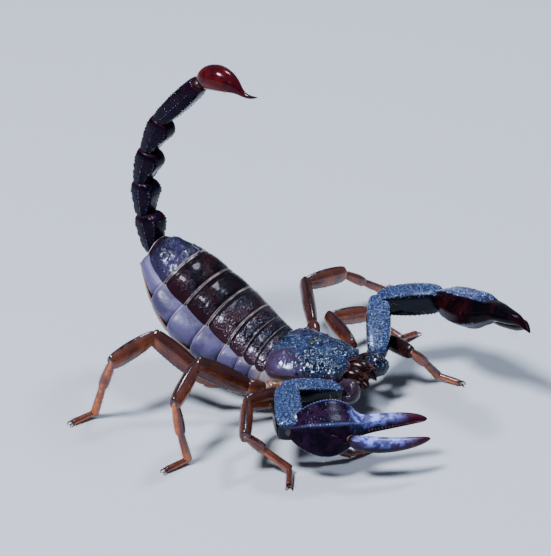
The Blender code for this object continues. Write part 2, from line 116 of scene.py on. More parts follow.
# headings in degrees from +X towards +Y, then rises above the horizontal
LEG_POSES = {
    "r4": ((124, 111, 165, 89, 82, 158), (12, 39, -11, -68, -70, -7)),
    "r3": ((146, 152, -167, -59, -9, 162), (14, 35, -14, -82, -74, -5)),
    "r2": ((166, 165, -148, -22, -74, -147), (12, 11, -9, -47, -32, -9)),
    "r1": ((-171, 133, -120, -72, -48, -20), (-21, 2, -4, -30, -20, -8)),
    "l4": ((57, 80, 40, 62, 75, 40), (6, 14, -18, -50, -4, -6)),
    "l3": ((41, 41, -12, -19, -16, 14), (12, 12, -9, -34, -34, -16)),
    "l2": ((-15, 58, -18, -3, -98, -8), (20, 1, -13, -42, -13, -10)),
    "l1": ((-22, 12, -106, -22, -23, -77), (-6, 11, 4, -45, -50, -9)),
}
LEG_SCALES = {1: 0.88, 2: 0.95, 3: 1.0, 4: 1.0}
SOLE_HEIGHT = 0.3
# trochanter, elbow, wrist, tip of the fixed finger, tip of the movable finger, roll of the hand
PALP_POSES = {
    "r": ((-2.2, -7.9, 4.25), (-7.5, -4.5, 5.55), (-11.7, -7.6, 4.85),
          (-2.4, -16.1, 4.4), (-4.3, -17.7, 3.6), 30.0),
    "l": ((3.7, -7.0, 3.9), (8.6, -3.95, 7.5), (12.8, -7.9, 7.2),
          (9.0, -19.45, 9.0), (9.5, -19.6, 8.5), 42.0),
}


def place(point: Vector) -> Vector:
    """A working-frame place in the row frame, in metres."""
    return (point - MIDDLE) * MM


def blend(keys: Sequence[Sequence[float]], at: float) -> tuple[float, ...]:
    """Read a table whose first column rises, along a smooth curve through its rows.

    Args:
        keys: Rows of numbers, the first of which is the row's place.
        at: Where to read.

    Returns:
        The other columns at that place.
    """
    places = [row[0] for row in keys]
    at = min(max(at, places[0]), places[-1])
    index = max(i for i in range(len(keys) - 1) if places[i] <= at or i == 0)
    low, high = keys[index], keys[index + 1]
    before, after = keys[max(index - 1, 0)], keys[min(index + 2, len(keys) - 1)]
    span = high[0] - low[0]
    share = (at - low[0]) / span
    square, cube = share * share, share ** 3
    values = []
    for a, b, c, d in zip(before[1:], low[1:], high[1:], after[1:]):
        start = (c - a) / (high[0] - before[0]) * span
        finish = (d - b) / (after[0] - low[0]) * span
        values.append((2 * cube - 3 * square + 1) * b + (cube - 2 * square + share) * start
                      + (3 * square - 2 * cube) * c + (cube - square) * finish)
    return tuple(values)


def hump(value: float, centre: float, width: float) -> float:
    """A smooth bump of height 1 at a centre."""
    return math.exp(-((value - centre) / width) ** 2)


def step(value: float, low: float, high: float) -> float:
    """A smooth rise from 0 at low to 1 at high."""
    share = min(max((value - low) / (high - low), 0.0), 1.0)
    return share * share * (3 - 2 * share)


def turned(yaw: float, lean: float = 0.0) -> tuple[Vector, Vector, Vector]:
    """Side, up and forward directions of a section that is turned left and leans forward."""
    turn = Matrix.Rotation(math.radians(yaw), 3, "Z") @ Matrix.Rotation(math.radians(lean), 3, "X")
    return turn @ LEFT, turn @ UP, turn @ Vector((0, -1, 0))


def head_place(across: float, forward: float, height: float) -> Vector:
    """A working-frame place given in the head's own frame, from the shield's rear margin."""
    side, _, ahead = turned(HEAD_YAW)
    return HEAD_REAR + side * across + ahead * forward + UP * height


def trunk_frame(at: float) -> tuple[Vector, Vector, Vector, Vector, tuple[float, ...]]:
    """Read the body at a place along it.

    Args:
        at: Place along the body, where segment k runs from k - 1 to k.

    Returns:
        The centre, the side, up and rearward directions, and the section's six sizes.
    """
    places = [TRUNK_START.copy()]
    for length, pitch in zip(TRUNK_LENGTHS, TRUNK_PITCHES):
        rise = math.radians(pitch)
        places.append(places[-1] + Vector((0, math.cos(rise), math.sin(rise))) * length)
    places = [spot + Vector((shift, 0, 0)) for spot, shift in zip(places, TRUNK_SHIFTS)]
    leans = [TRUNK_PITCHES[0]]
    leans += [0.5 * (a + b) for a, b in zip(TRUNK_PITCHES, TRUNK_PITCHES[1:])] + [TRUNK_PITCHES[-1]]
    index = min(max(int(math.floor(at)), 0), SEGMENTS - 1)
    centre, lean, yaw = (row[index] + (row[index + 1] - row[index]) * (at - index)
                         for row in (places, leans, TRUNK_YAWS))
    side, up, ahead = turned(yaw, lean)
    return centre, side, up, -ahead, blend([(i, *row) for i, row in enumerate(TRUNK_SECTIONS)], at)


def leg_joints(letter: str, number: int) -> list[Vector]:
    """Lay out one leg.

    Args:
        letter: Its side.
        number: Its place from the front.

    Returns:
        Its seven joint places, from hip to toe.
    """
    across, forward, height = HIPS[number]
    places = [head_place(SIDES[letter] * across, forward, height)]
    for length, *angles in zip(LEG_LENGTHS[number], *LEG_POSES[f"{letter}{number}"]):
        turn, tilt = map(math.radians, angles)
        stride = Vector((math.cos(tilt) * math.cos(turn), math.cos(tilt) * math.sin(turn), math.sin(tilt)))
        places.append(places[-1] + stride * length)
    return places


# ---------------------------------------------------------------- modelling tools

@dataclass(frozen=True)
class Ring:
    """One cross-section of a sweep: its centre, two directions and (across, height) outline."""

    centre: Vector
    side: Vector
    up: Vector
    outline: Outline
    lags: tuple[float, ...] = ()
    crease: float = 0.0
    ridges: tuple[float, ...] = ()

    def spot(self, index: int) -> Vector:
        """Find an outline point, which lies further along the sweep where the ring has lags.

        Args:
            index: Which point.

        Returns:
            Its place in the working frame.
        """
        across, height = self.outline[index]
        lag = self.lags[index] if self.lags else 0.0
        return self.centre + self.side * across + self.up * height + self.up.cross(self.side) * lag


def facet_share(turn: float, corners: Sequence[float]) -> float:
    """Measure a section with flat faces between its corners.

    Args:
        turn: Direction from the middle in degrees.
        corners: Directions of the corners.

    Returns:
        Share of the full radius at which the flat face lies.
    """
    before = max((corner for corner in corners if corner <= turn), default=corners[-1] - 360)
    after = min((corner for corner in corners if corner > turn), default=corners[0] + 360)
    half, away = math.radians(after - before) / 2, math.radians(turn - 0.5 * (before + after))
    return math.cos(half) / math.cos(away)


def ridge_values(count: int, keels: Keels) -> tuple[float, ...]:
    """Mark the outline points that carry a raised keel.

    Args:
        count: Number of outline points.
        keels: The section's ridges.

    Returns:
        1 at such a point and 0 at the others.
    """
    raised = [middle for middle, share, _ in keels if share > 0]
    angles = [(index + 0.5) * 360 / count for index in range(count)]
    gaps = [min((abs((angle - middle + 180) % 360 - 180) for middle in raised), default=360.0)
            for angle in angles]
    return tuple(float(gap < 180 / count) for gap in gaps)


def oval(half_width: float, half_height: float, count: int, squareness: float = 2.0,
         keels: Keels = (), facets: float = 0.0) -> Outline:
    """A rounded outline, grown a little because smoothing draws it in.

    Args:
        half_width: Size across.
        half_height: Size up.
        count: Number of points.
        squareness: 2 is an ellipse, and more is boxier.
        keels: Ridges as (angle in degrees, share of the radius, width in degrees).
        facets: How flat the faces between raised keels are, from 0 to 1.

    Returns:
        The outline's (across, height) pairs.
    """
    grown = 6 / (4 + 2 * math.cos(math.tau / count))
    corners = sorted(middle % 360 for middle, share, _ in keels if share > 0)
    outline = []
    for index in range(count):
        angle = (index + 0.5) * math.tau / count
        across, height = (math.copysign(abs(wave) ** (2 / squareness), wave)
                          for wave in (math.cos(angle), math.sin(angle)))
        size = grown
        for middle, share, width in keels:
            size += share * hump((math.degrees(angle) - middle + 180) % 360 - 180, 0, width)
        if facets:
            size *= 1 + facets * (facet_share(math.degrees(angle), corners) - 1)
        outline.append((half_width * across * size, half_height * height * size))
    return tuple(outline)


def path_frames(points: Sequence[Vector]) -> list[tuple[Vector, Vector, Vector]]:
    """Carry a frame along a path, mitred at its bends and without twist.

    Args:
        points: The path.

    Returns:
        Centre, side and up at each point.
    """
    directions = [(after - before).normalized() for before, after in zip(points, points[1:])]
    frames, up = [], UP.copy()
    for point, entering, leaving in zip(points, directions[:1] + directions, directions + directions[-1:]):
        along = (entering + leaving).normalized()
        up = (up - along * up.dot(along)).normalized()
        frames.append((point, along.cross(up), up))
    return frames


def deselect() -> None:
    """Leave nothing selected."""
    bpy.ops.object.select_all(action="DESELECT")


def apply_modifier(piece: Piece, kind: str, **settings: float) -> None:
    """Add a modifier and apply it.

    Args:
        piece: The piece.
        kind: Type of the modifier.
        settings: Its properties.
    """
    deselect()
    piece.select_set(True)
    bpy.context.view_layer.objects.active = piece
    modifier = piece.modifiers.new(kind.title(), kind)
    for name, value in settings.items():
        setattr(modifier, name, value)
    bpy.ops.object.modifier_apply(modifier=modifier.name)


def write_values(mesh: bpy.types.Mesh, name: str, values: Sequence[float]) -> None:
    """Store one number for each vertex, for a material to read."""
    layer = mesh.attributes.new(name, "FLOAT", "POINT")
    layer.data.foreach_set("value", np.asarray(values, dtype=np.float32))


def read_values(mesh: bpy.types.Mesh, name: str) -> np.ndarray:
    """Read the numbers that are stored for each vertex.

    Args:
        mesh: The mesh.
        name: Name of the numbers.

    Returns:
        The numbers, or zeros where there are none.
    """
    values = np.zeros(len(mesh.vertices), dtype=np.float32)
    if name in mesh.attributes:
        mesh.attributes[name].data.foreach_get("value", values)
    return values


def put_in_order(mesh: bpy.types.Mesh, keys: Sequence[tuple[int, int]]) -> None:
    """Lay a mesh out again in the order of its vertices' keys.

    Extruding leaves vertices and faces in an order that differs from run to run, and what is
    scattered over a piece follows that order.

    Args:
        mesh: The mesh, whose faces already point outwards.
        keys: One key for each vertex, no two alike.
    """
    order = sorted(range(len(keys)), key=keys.__getitem__)
    places = {old: new for new, old in enumerate(order)}
    spots = [mesh.vertices[old].co.copy() for old in order]
    faces = []
    for face in mesh.polygons:
        corners = [places[corner] for corner in face.vertices]
        start = corners.index(min(corners))
        faces.append(corners[start:] + corners[:start])
    mesh.clear_geometry()
    mesh.from_pydata(spots, [], sorted(faces))


def named(piece: Piece, name: str) -> Piece:
    """Give an object and its mesh a name."""
    piece.name = piece.data.name = name
    return piece


def swept(name: str, rings: Sequence[Ring], levels: int = 2) -> Piece:
    """Extrude a circle ring by ring, lay each ring on its section and smooth the result.

    Args:
        name: The piece's name.
        rings: Cross-sections with equal numbers of points.
        levels: Subdivision levels of the finished surface.

    Returns:
        The closed piece, with its place along, side and height stored for its materials.
    """
    deselect()
    count = len(rings[0].outline)
    bpy.ops.mesh.primitive_circle_add(vertices=count, radius=1.0, fill_type="NGON")
    piece = named(bpy.context.object, name)
    bpy.ops.object.mode_set(mode="EDIT")
    for _ in rings[1:]:
        bpy.ops.mesh.extrude_region_move(TRANSFORM_OT_translate={"value": (0, 0, 1)})
    bpy.ops.object.mode_set(mode="OBJECT")
    keys = []
    for vertex in piece.data.vertices:
        row = round(vertex.co.z)
        index = round(math.atan2(-vertex.co.x, vertex.co.y) / math.tau * count) % count
        keys.append((row, index))
        vertex.co = place(rings[row].spot(index))
    bpy.ops.object.mode_set(mode="EDIT")
    bpy.ops.mesh.select_all(action="SELECT")
    bpy.ops.mesh.normals_make_consistent(inside=False)
    bpy.ops.object.mode_set(mode="OBJECT")
    put_in_order(piece.data, keys)
    lengths = [0.0]
    for ring, after in zip(rings, rings[1:]):
        lengths.append(lengths[-1] + (after.centre - ring.centre).length)
    stored: dict[str, list[float]] = {key: [] for key in ("along", "side", "height", "crease", "ridge")}
    for ring, length in zip(rings, lengths):
        reaches = [max(map(abs, column)) for column in zip(*ring.outline)]
        stored["along"] += [length / lengths[-1]] * count
        stored["side"] += [across / reaches[0] for across, _ in ring.outline]
        stored["height"] += [height / reaches[1] for _, height in ring.outline]
        stored["crease"] += [ring.crease] * count
        stored["ridge"] += ring.ridges or [0.0] * count
    for key, values in stored.items():
        if any(values):
            write_values(piece.data, key, values)
    apply_modifier(piece, "SUBSURF", levels=levels, render_levels=levels)
    bpy.ops.object.shade_smooth()
    return piece


def tube(name: str, points: Sequence[Vector], sizes: Sequence[float | tuple[float, float]], count: int,
         squareness: float = 2.0, levels: int = 2) -> Piece:
    """Sweep ovals along a path.

    Args:
        name: The piece's name.
        points: The path.
        sizes: A radius, or half width and half height, at each point.
        count: Points round it.
        squareness: Boxiness of its section.
        levels: Subdivision levels of the finished surface.

    Returns:
        The piece.
    """
    pairs = [size if isinstance(size, tuple) else (size, size) for size in sizes]
    return swept(name, [Ring(centre, side, up, oval(*pair, count, squareness))
                        for (centre, side, up), pair in zip(path_frames(points), pairs)], levels)


def plate(name: str, columns: int, rows: int, surface: Callable[[float, float], Vector],
          outward: Vector, thickness: float) -> Piece:
    """Shape a grid into a curved plate and give it its thickness.

    Args:
        name: The piece's name.
        columns: Faces across.
        rows: Faces along.
        surface: Gives the place for across from -1 to 1 and along from 0 to 1.
        outward: A direction that the outer face looks towards.
        thickness: Wall thickness in millimetres.

    Returns:
        The closed plate, with side and along stored for its materials.
    """
    deselect()
    bpy.ops.mesh.primitive_grid_add(x_subdivisions=columns, y_subdivisions=rows, size=2.0)
    piece = named(bpy.context.object, name)
    mesh = piece.data
    across = [vertex.co.x for vertex in mesh.vertices]
    along = [0.5 * (vertex.co.y + 1) for vertex in mesh.vertices]
    for vertex, u, v in zip(mesh.vertices, across, along):
        vertex.co = place(surface(u, v))
    write_values(mesh, "side", across)
    write_values(mesh, "along", along)
    if mesh.polygons[len(mesh.polygons) // 2 + columns // 2].normal.dot(outward) < 0:
        mesh.flip_normals()
    apply_modifier(piece, "SOLIDIFY", thickness=thickness * MM, offset=-1.0)
    bpy.ops.object.shade_smooth_by_angle(angle=math.radians(CREASE_ANGLE))
    return piece


def joined(name: str, pieces: Sequence[Piece]) -> Piece:
    """Join pieces into one object.

    Args:
        name: The new name.
        pieces: The pieces.

    Returns:
        The whole.
    """
    deselect()
    for piece in pieces:
        piece.select_set(True)
    bpy.context.view_layer.objects.active = pieces[0]
    bpy.ops.object.join()
    return named(bpy.context.view_layer.objects.active, name)


class Site(NamedTuple):
    """A place on a surface, its normal, its lengthwise direction and where it lies on the shell."""

    spot: Vector
    normal: Vector
    run: Vector
    around: float
    share: float


class Face(NamedTuple):
    """Where a face lies on its piece, and its normal."""

    along: float
    side: float
    height: float
    normal: Vector


def sites_on(piece: Piece, count: int, spacing: float, seed: int,
             keep: Callable[[Face], float]) -> list[Site]:
    """Scatter sites over a piece, no two closer than the spacing.

    Args:
        piece: The finished piece.
        count: How many sites to try.
        spacing: Least distance between sites in millimetres.
        seed: Seed of the random draws.
        keep: Chance of a site on a face.

    Returns:
        The sites, in the row frame.
    """
    mesh = piece.data
    along, side, height = (read_values(mesh, key) for key in ("along", "side", "height"))
    totals = np.cumsum([face.area for face in mesh.polygons])
    draw = random.Random(seed)
    taken: dict[tuple[int, ...], list[Vector]] = {}
    steps = [(x, y, z) for x in (-1, 0, 1) for y in (-1, 0, 1) for z in (-1, 0, 1)]
    cell = spacing * MM
    sites: list[Site] = []
    for _ in range(count):
        face = mesh.polygons[int(np.searchsorted(totals, draw.random() * totals[-1]))]
        corners = list(face.vertices)
        weights = [draw.random() + 0.05 for _ in corners]
        whole = sum(weights)
        spot = Vector((0, 0, 0))
        for corner, weight in zip(corners, weights):
            spot += mesh.vertices[corner].co * (weight / whole)
        first = corners[0]
        if draw.random() >= keep(Face(along[first], side[first], height[first], face.normal)):
            continue
        key = [int(math.floor(value / cell)) for value in spot]
        near = (other for move in steps for other in taken.get(tuple(map(sum, zip(key, move))), ()))
        if any((other - spot).length < cell for other in near):
            continue
        taken.setdefault(tuple(key), []).append(spot)
        ends = sorted(corners, key=lambda corner: along[corner])
        run = mesh.vertices[ends[-1]].co - mesh.vertices[ends[0]].co
        around = math.atan2(height[first], side[first]) / math.tau + 0.5
        sites.append(Site(spot, face.normal.copy(), run.normalized(), around, float(along[first])))
    return sites


def crest_lines(piece: Piece, angles: Sequence[float], start: float, end: float, count: int) -> list[Site]:
    """Set sites in rows along a swept piece, where it reaches furthest in each direction.

    Args:
        piece: The swept piece.
        angles: Directions round its section in degrees, 0 at the side and 90 on top.
        start: First place along it.
        end: Last place along it.
        count: Number of sites in a row.

    Returns:
        The sites, in the row frame.
    """
    mesh = piece.data
    along, side, height = (read_values(mesh, key) for key in ("along", "side", "height"))
    width = 0.6 / max(count, 24)
    sites = []
    for angle in angles:
        reach = side * math.cos(math.radians(angle)) + height * math.sin(math.radians(angle))
        rows = []
        for index in range(count):
            at = start + (end - start) * index / (count - 1)
            vertex = mesh.vertices[int(np.argmax(reach - np.abs(along - at) / width))]
            rows.append((vertex.co.copy(), vertex.normal.copy(), at))
        for row, before, after in zip(rows, rows[:1] + rows, rows[1:] + rows[-1:]):
            sites.append(Site(row[0], row[1], (after[0] - before[0]).normalized(), angle / 360, row[2]))
    return sites


class Grain(Enum):
    """The small shapes that are repeated over a surface."""

    BEAD = "bead"
    TOOTH = "tooth"
    HAIR = "hair"


@cache
def grain_mesh(kind: Grain) -> tuple[np.ndarray, list[tuple[int, ...]]]:
    """Model one small shape of unit size that stands on +Z and leans along +X.

    Args:
        kind: Which shape.

    Returns:
        Its vertices and faces.
    """
    deselect()
    if kind is Grain.BEAD:
        bpy.ops.mesh.primitive_ico_sphere_add(subdivisions=1, radius=1.0)
    else:
        bpy.ops.mesh.primitive_cone_add(vertices=6 if kind is Grain.TOOTH else 3, radius1=1.0,
                                        radius2=0.06, depth=1.0, location=(0, 0, 0.5))
        bpy.ops.object.transform_apply(location=True)
        bpy.ops.object.mode_set(mode="EDIT")
        bpy.ops.mesh.select_all(action="SELECT")
        bpy.ops.mesh.subdivide(number_cuts=1)
        bpy.ops.object.mode_set(mode="OBJECT")
    shape = bpy.context.object
    bend = {Grain.BEAD: 0.0, Grain.TOOTH: 0.5, Grain.HAIR: HAIR_BEND}[kind]
    spots = np.array([tuple(vertex.co) for vertex in shape.data.vertices])
    spots[:, 0] += bend * np.clip(spots[:, 2], 0, 1) ** 2
    faces = [tuple(face.vertices) for face in shape.data.polygons]
    bpy.data.objects.remove(shape, do_unlink=True)
    return spots, faces


HAIR_BEND = 0.22
SWING = 0.35           # most that a grain turns about its own axis, in radians
UNWRAP_MARGIN = 0.03
UNWRAP_WIDTH = 0.0015


@dataclass(frozen=True)
class Crop:
    """How a grain is set on its sites: its width, its height and how far it leans, in mm."""

    kind: Grain
    width: float
    height: float
    lean: float = 0.0
    vary: float = 0.25
    sink: float = 0.0


def grow(name: str, sites: Sequence[Site], crop: Crop, seed: int,
         cells: Sequence[tuple[int, int]] = ()) -> Piece:
    """Set a grain on each site, all in one mesh.

    Args:
        name: The piece's name.
        sites: Where the grains stand.
        crop: Their shape and size.
        seed: Seed of the random draws.
        cells: For hairs, the (cell, number of cells) of each site on the unwrap of their shell.

    Returns:
        The joined grains.
    """
    shape, faces = grain_mesh(crop.kind)
    hairy = crop.kind is Grain.HAIR
    draw = random.Random(seed)
    spots, all_faces, patch = [], [], []
    for number, site in enumerate(sites):
        along = site.run - site.normal * site.run.dot(site.normal)
        along = along.normalized() if along.length > SMALL else site.normal.orthogonal().normalized()
        stand = (site.normal + along * crop.lean).normalized()
        lead = (along - stand * along.dot(stand)).normalized()
        swing = draw.uniform(-SWING, SWING)
        cross = stand.cross(lead)
        lead, cross = (lead * math.cos(swing) + cross * math.sin(swing),
                       cross * math.cos(swing) - lead * math.sin(swing))
        size = 1 + draw.uniform(-crop.vary, crop.vary)
        wide, high = crop.width * size * MM, crop.height * size * MM
        axes = np.array([tuple(lead * (high if hairy else wide)), tuple(cross * wide), tuple(stand * high)])
        local = shape.copy()
        if hairy:
            base = np.clip(local[:, 2], 0, 1) ** 2 * HAIR_BEND
            local[:, 0] = (local[:, 0] - base) * (wide / high) + base
        placed = local @ axes + np.array(tuple(site.spot - site.normal * crop.sink * MM))
        if placed[:, 2].min() < FLOOR_GAP:
            continue
        first = len(spots) * len(shape)
        spots.append(placed)
        all_faces.extend(tuple(first + corner for corner in face) for face in faces)
        if hairy:
            cell, whole = cells[number] if cells else (0, 1)
            inner = 1 - 2 * UNWRAP_MARGIN
            centre = np.array(((cell + UNWRAP_MARGIN + inner * (site.around % 1.0)) / whole,
                               UNWRAP_MARGIN + inner * site.share))
            patch.append(centre + UNWRAP_WIDTH * np.stack((shape[:, 1], shape[:, 2] * 2 - 1), axis=1))
    mesh = bpy.data.meshes.new(name)
    mesh.from_pydata(np.concatenate(spots).tolist(), [], all_faces)
    mesh.polygons.foreach_set("use_smooth", [True] * len(mesh.polygons))
    if patch:
        layer = mesh.uv_layers.new(name="OFBake")
        corners = np.zeros(len(mesh.loops), dtype=np.int32)
        mesh.loops.foreach_get("vertex_index", corners)
        layer.data.foreach_set("uv", np.concatenate(patch)[corners].ravel())
    grown = bpy.data.objects.new(name, mesh)
    bpy.context.collection.objects.link(grown)
    return grown


def settle(piece: Piece, look: Look, slot: str, *nodes: str) -> None:
    """Dress a finished piece and fix it to the frame.

    Args:
        piece: The piece.
        look: Its finish.
        slot: The record's material slot; not used.
        nodes: CAD nodes that it stands for.
    """
    piece.data.materials.clear()
    piece.data.materials.append(look.value.material())
    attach(piece, "root")
    if nodes:
        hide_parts(*nodes)
    LOG.info("%s: %d faces", piece.name, len(piece.data.polygons))


def plant(name: str, sites: Sequence[Site], crop: Crop, seed: int, look: Look, slot: str,
          cells: Sequence[tuple[int, int]] = ()) -> None:
    """Grow grains on their sites and fix them to the frame.

    Args:
        name: The piece's name.
        sites: Where the grains stand.
        crop: Their shape and size.
        seed: Seed of the random draws.
        look: Their finish.
        slot: The record's material slot.
        cells: For hairs, the (cell, number of cells) of each site on the unwrap of their shell.
    """
    settle(grow(name, sites, crop, seed, cells), look, slot)


# ---------------------------------------------------------------- finishes

class Bench:
    """Short calls for laying nodes in one tree."""

    def __init__(self, tree: Tree) -> None:
        """Work in a tree."""
        self.tree = tree

    def feed(self, socket: Socket, value: Value) -> None:
        """Link an input to another node, or set its constant.

        Args:
            socket: The input.
            value: A socket, a number or a colour.
        """
        if isinstance(value, Socket):
            self.tree.links.new(value, socket)
        else:
            socket.default_value = (*value, 1) if socket.type == "RGBA" else value

    def node(self, kind: str, inputs: dict[str, Value], **settings: object) -> bpy.types.Node:
        """Add a node.

        Args:
            kind: Its type, without the leading ShaderNode.
            inputs: What its inputs are fed with.
            settings: Its properties.

        Returns:
            The node.
        """
        made = self.tree.nodes.new("ShaderNode" + kind)
        for key, value in settings.items():
            setattr(made, key, value)
        for key, value in inputs.items():
            self.feed(made.inputs[key], value)
        return made

    def math(self, kind: str, first: Value, *others: Value) -> Socket:
        """Work on one value, or on more in turn.

        Args:
            kind: The operation.
            first: The first value.
            others: The values that are added to it, multiplied by it and so on.

        Returns:
            The result.
        """
        result = first
        for other in others or (0.0,):
            made = self.node("Math", {}, operation=kind)
            self.feed(made.inputs[0], result)
            self.feed(made.inputs[1], other)
            result = made.outputs[0]
        return result

    def times(self, *values: Value) -> Socket:
        """The product of values."""
        return self.math("MULTIPLY", *values)

    def most(self, *values: Value) -> Socket:
        """The greatest of values."""
        return self.math("MAXIMUM", *values)

    def mix(self, share: Value, first: Value, second: Value) -> Socket:
        """Lay a colour between two.

        Args:
            share: How much of the second.
            first: The first colour.
            second: The second colour.

        Returns:
            The colour.
        """
        made = self.node("Mix", {}, data_type="RGBA")
        for key, value in (("Factor", share), ("A", first), ("B", second)):
            self.feed(made.inputs[key], value)
        return made.outputs["Result"]

    def stored(self, name: str) -> Socket:
        """A number that is stored on the mesh."""
        return self.node("Attribute", {}, attribute_name=name).outputs["Fac"]

    def ramp(self, value: Value | str, low: Value, high: Value, start: float = 0.0,
             finish: float = 1.0) -> Socket:
        """Lay a smooth clamped step.

        Args:
            value: What it follows: a value, or the name of one that is stored on the mesh.
            low: Where it starts.
            high: Where it ends.
            start: Its result at low.
            finish: Its result at high.

        Returns:
            The result.
        """
        value = self.stored(value) if isinstance(value, str) else value
        return self.node("MapRange", {"Value": value, "From Min": low, "From Max": high, "To Min": start,
                                      "To Max": finish}, interpolation_type="SMOOTHSTEP").outputs["Result"]

    def band(self, value: Value, *edges: float) -> Socket:
        """A mask that rises from the first edge to the second and falls from the third to the fourth."""
        return self.times(self.ramp(value, *edges[:2]), self.ramp(value, *edges[:1:-1]))

    def effect(self, group: Callable[[], Tree], **values: Value) -> Socket:
        """A shared effect over the piece's own coordinates."""
        spot = self.node("TexCoord", {}).outputs["Object"]
        return self.node("Group", {"Vector": spot, **values}, node_tree=group()).outputs[0]

    def mottle(self, scale: float, low: float, high: float) -> Socket:
        """Cloudy patches."""
        return self.effect(mottle, Scale=scale, Low=low, High=high)

    def grain(self, scale: float, coarse: float = 0.9) -> Socket:
        """Granules."""
        return self.effect(shagreen, Scale=scale, Coarse=coarse)


def open_group(name: str, output: str, **inputs: float) -> tuple[Bench, bpy.types.NodeOutputs, Socket]:
    """Start a shader node group with a Vector input.

    Args:
        name: Its name.
        output: Name of its only output, a number.
        inputs: Names and starting values of its number inputs.

    Returns:
        A bench in the group, the inputs to read from and the output to feed.
    """
    tree = bpy.data.node_groups.new(name, "ShaderNodeTree")
    tree.interface.new_socket("Vector", in_out="INPUT", socket_type="NodeSocketVector")
    for key, value in inputs.items():
        tree.interface.new_socket(key, in_out="INPUT", socket_type="NodeSocketFloat").default_value = value
    tree.interface.new_socket(output, in_out="OUTPUT", socket_type="NodeSocketFloat")
    return Bench(tree), tree.nodes.new("NodeGroupInput").outputs, tree.nodes.new("NodeGroupOutput").inputs[0]


@cache
def mottle() -> Tree:
    """Make cloudy patches: a mask from smooth noise with soft edges.

    Returns:
        The group.
    """
    bench, given, mask = open_group("mottle", "Mask", Scale=500.0, Low=0.4, High=0.6)
    cloud = bench.node("TexNoise", {"Vector": given["Vector"], "Scale": given["Scale"], "Detail": 5.0,
                                    "Roughness": 0.6})
    bench.feed(mask, bench.ramp(cloud.outputs[0], given["Low"], given["High"]))
    return bench.tree


@cache
def shagreen() -> Tree:
    """Make fine rounded granules between larger ones, as a height.

    Returns:
        The group.
    """
    bench, given, height = open_group("shagreen", "Height", Scale=5000.0, Coarse=0.5)
    small, large = (bench.node("TexVoronoi", {"Vector": given["Vector"], "Scale": scale}).outputs["Distance"]
                    for scale in (given["Scale"], bench.times(given["Scale"], 0.42)))
    large = bench.times(bench.ramp(large, 0.45, 0.08), given["Coarse"], 2.0)
    bench.feed(height, bench.most(bench.ramp(small, 0.55, 0.1), large))
    return bench.tree


@cache
def punctures() -> Tree:
    """Make fine pits and faint waves on a smooth plate, as a height.

    Returns:
        The group.
    """
    bench, given, height = open_group("punctures", "Height", Scale=2600.0, Depth=0.5)
    cells = bench.node("TexVoronoi", {"Vector": given["Vector"], "Scale": given["Scale"]})
    wave = bench.node("TexNoise", {"Vector": given["Vector"], "Detail": 4.0,
                                   "Scale": bench.times(given["Scale"], 0.35)})
    pits = bench.times(bench.ramp(cells.outputs["Distance"], 0.05, 0.25), given["Depth"])
    bench.feed(height, bench.math("ADD", pits, wave.outputs[0]))
    return bench.tree


@cache
def folds() -> Tree:
    """Make fine parallel folds that run along a soft skin, as a height.

    Returns:
        The group.
    """
    bench, given, height = open_group("folds", "Height", Scale=900.0)
    slope = bench.node("Mapping", {"Vector": given["Vector"], "Rotation": (math.radians(-30), 0, 0),
                                   "Scale": (1.0, 0.09, 1.0)}, vector_type="POINT")
    fold = bench.node("TexNoise", {"Vector": slope.outputs[0], "Scale": given["Scale"], "Detail": 3.0})
    bench.feed(height, fold.outputs[0])
    return bench.tree


@dataclass(frozen=True)
class Finish:
    """What every finish has: a name, two colours in patches, a gloss and a relief."""

    name: str
    deep: Colour
    warm: Colour
    patch_scale: float = 420.0
    patch_edges: Span = (0.42, 0.62)
    rough: Span = (0.18, 0.34)
    coat: float = 0.05
    bump: float = 0.25
    specular: float = 0.36
    tint: Colour = (1.0, 1.0, 1.0)
    pit_scale: float = 2600.0

    def material(self) -> bpy.types.Material:
        """Build the material, or find it.

        Returns:
            The material.
        """
        if self.name in bpy.data.materials:
            return bpy.data.materials[self.name]
        made = bpy.data.materials.new(self.name)
        made.use_nodes = True
        bench = Bench(made.node_tree)
        patchy = bench.mottle(self.patch_scale * WEAR_SCALE, 0.35, 0.65)
        relief = bench.node("Bump", {"Strength": self.bump, "Distance": RELIEF_DEPTH,
                                     "Height": self.relief(bench)})
        shader = made.node_tree.nodes["Principled BSDF"]
        for key, value in (
                ("Base Color", self.paint(bench, bench.mottle(self.patch_scale, *self.patch_edges))),
                ("Roughness", bench.ramp(patchy, 0.0, 1.0, *self.rough)), ("Coat Weight", self.coat),
                ("Coat Roughness", COAT_ROUGHNESS), ("Specular IOR Level", self.specular),
                ("Specular Tint", self.tint), ("Normal", relief.outputs[0])):
            bench.feed(shader.inputs[key], value)
        return made

    def paint(self, bench: Bench, patches: Socket) -> Socket:
        """The two colours in their patches."""
        return bench.mix(patches, self.deep, self.warm)

    def relief(self, bench: Bench) -> Socket:
        """Pits."""
        return bench.effect(punctures, Scale=self.pit_scale, Depth=0.6)


@dataclass(frozen=True)
class LimbFinish(Finish):
    """Leg chitin: darker on top, with dark keels and ends; the warm colour below is partly its own and partly
    a painted glow of light shining through.
    """

    top: Colour = (0.06, 0.022, 0.02)
    rim: Colour = (0.42, 0.24, 0.13)
    rim_share: float = 0.85
    keel: Colour = (0.006, 0.002, 0.003)

    def paint(self, bench: Bench, patches: Socket) -> Socket:
        """Lay top, keels and ends over the patches.

        Args:
            bench: Where the nodes are laid.
            patches: Mask of the patches.

        Returns:
            The colour.
        """
        body = super().paint(bench, patches)
        # the top colour covers the upper side, so the warm colour left below reads as a painted glow of light
        # through the chitin
        body = bench.mix(bench.ramp("height", -0.15, 0.45, finish=0.9), body, self.top)
        body = bench.mix(bench.ramp("ridge", 0.15, 0.65, finish=0.9), body, self.keel)
        ends = bench.most(bench.ramp("along", 0.07, 0.0), bench.ramp("along", 0.93, 1.0))
        return bench.mix(bench.times(ends, self.rim_share), body, self.rim)


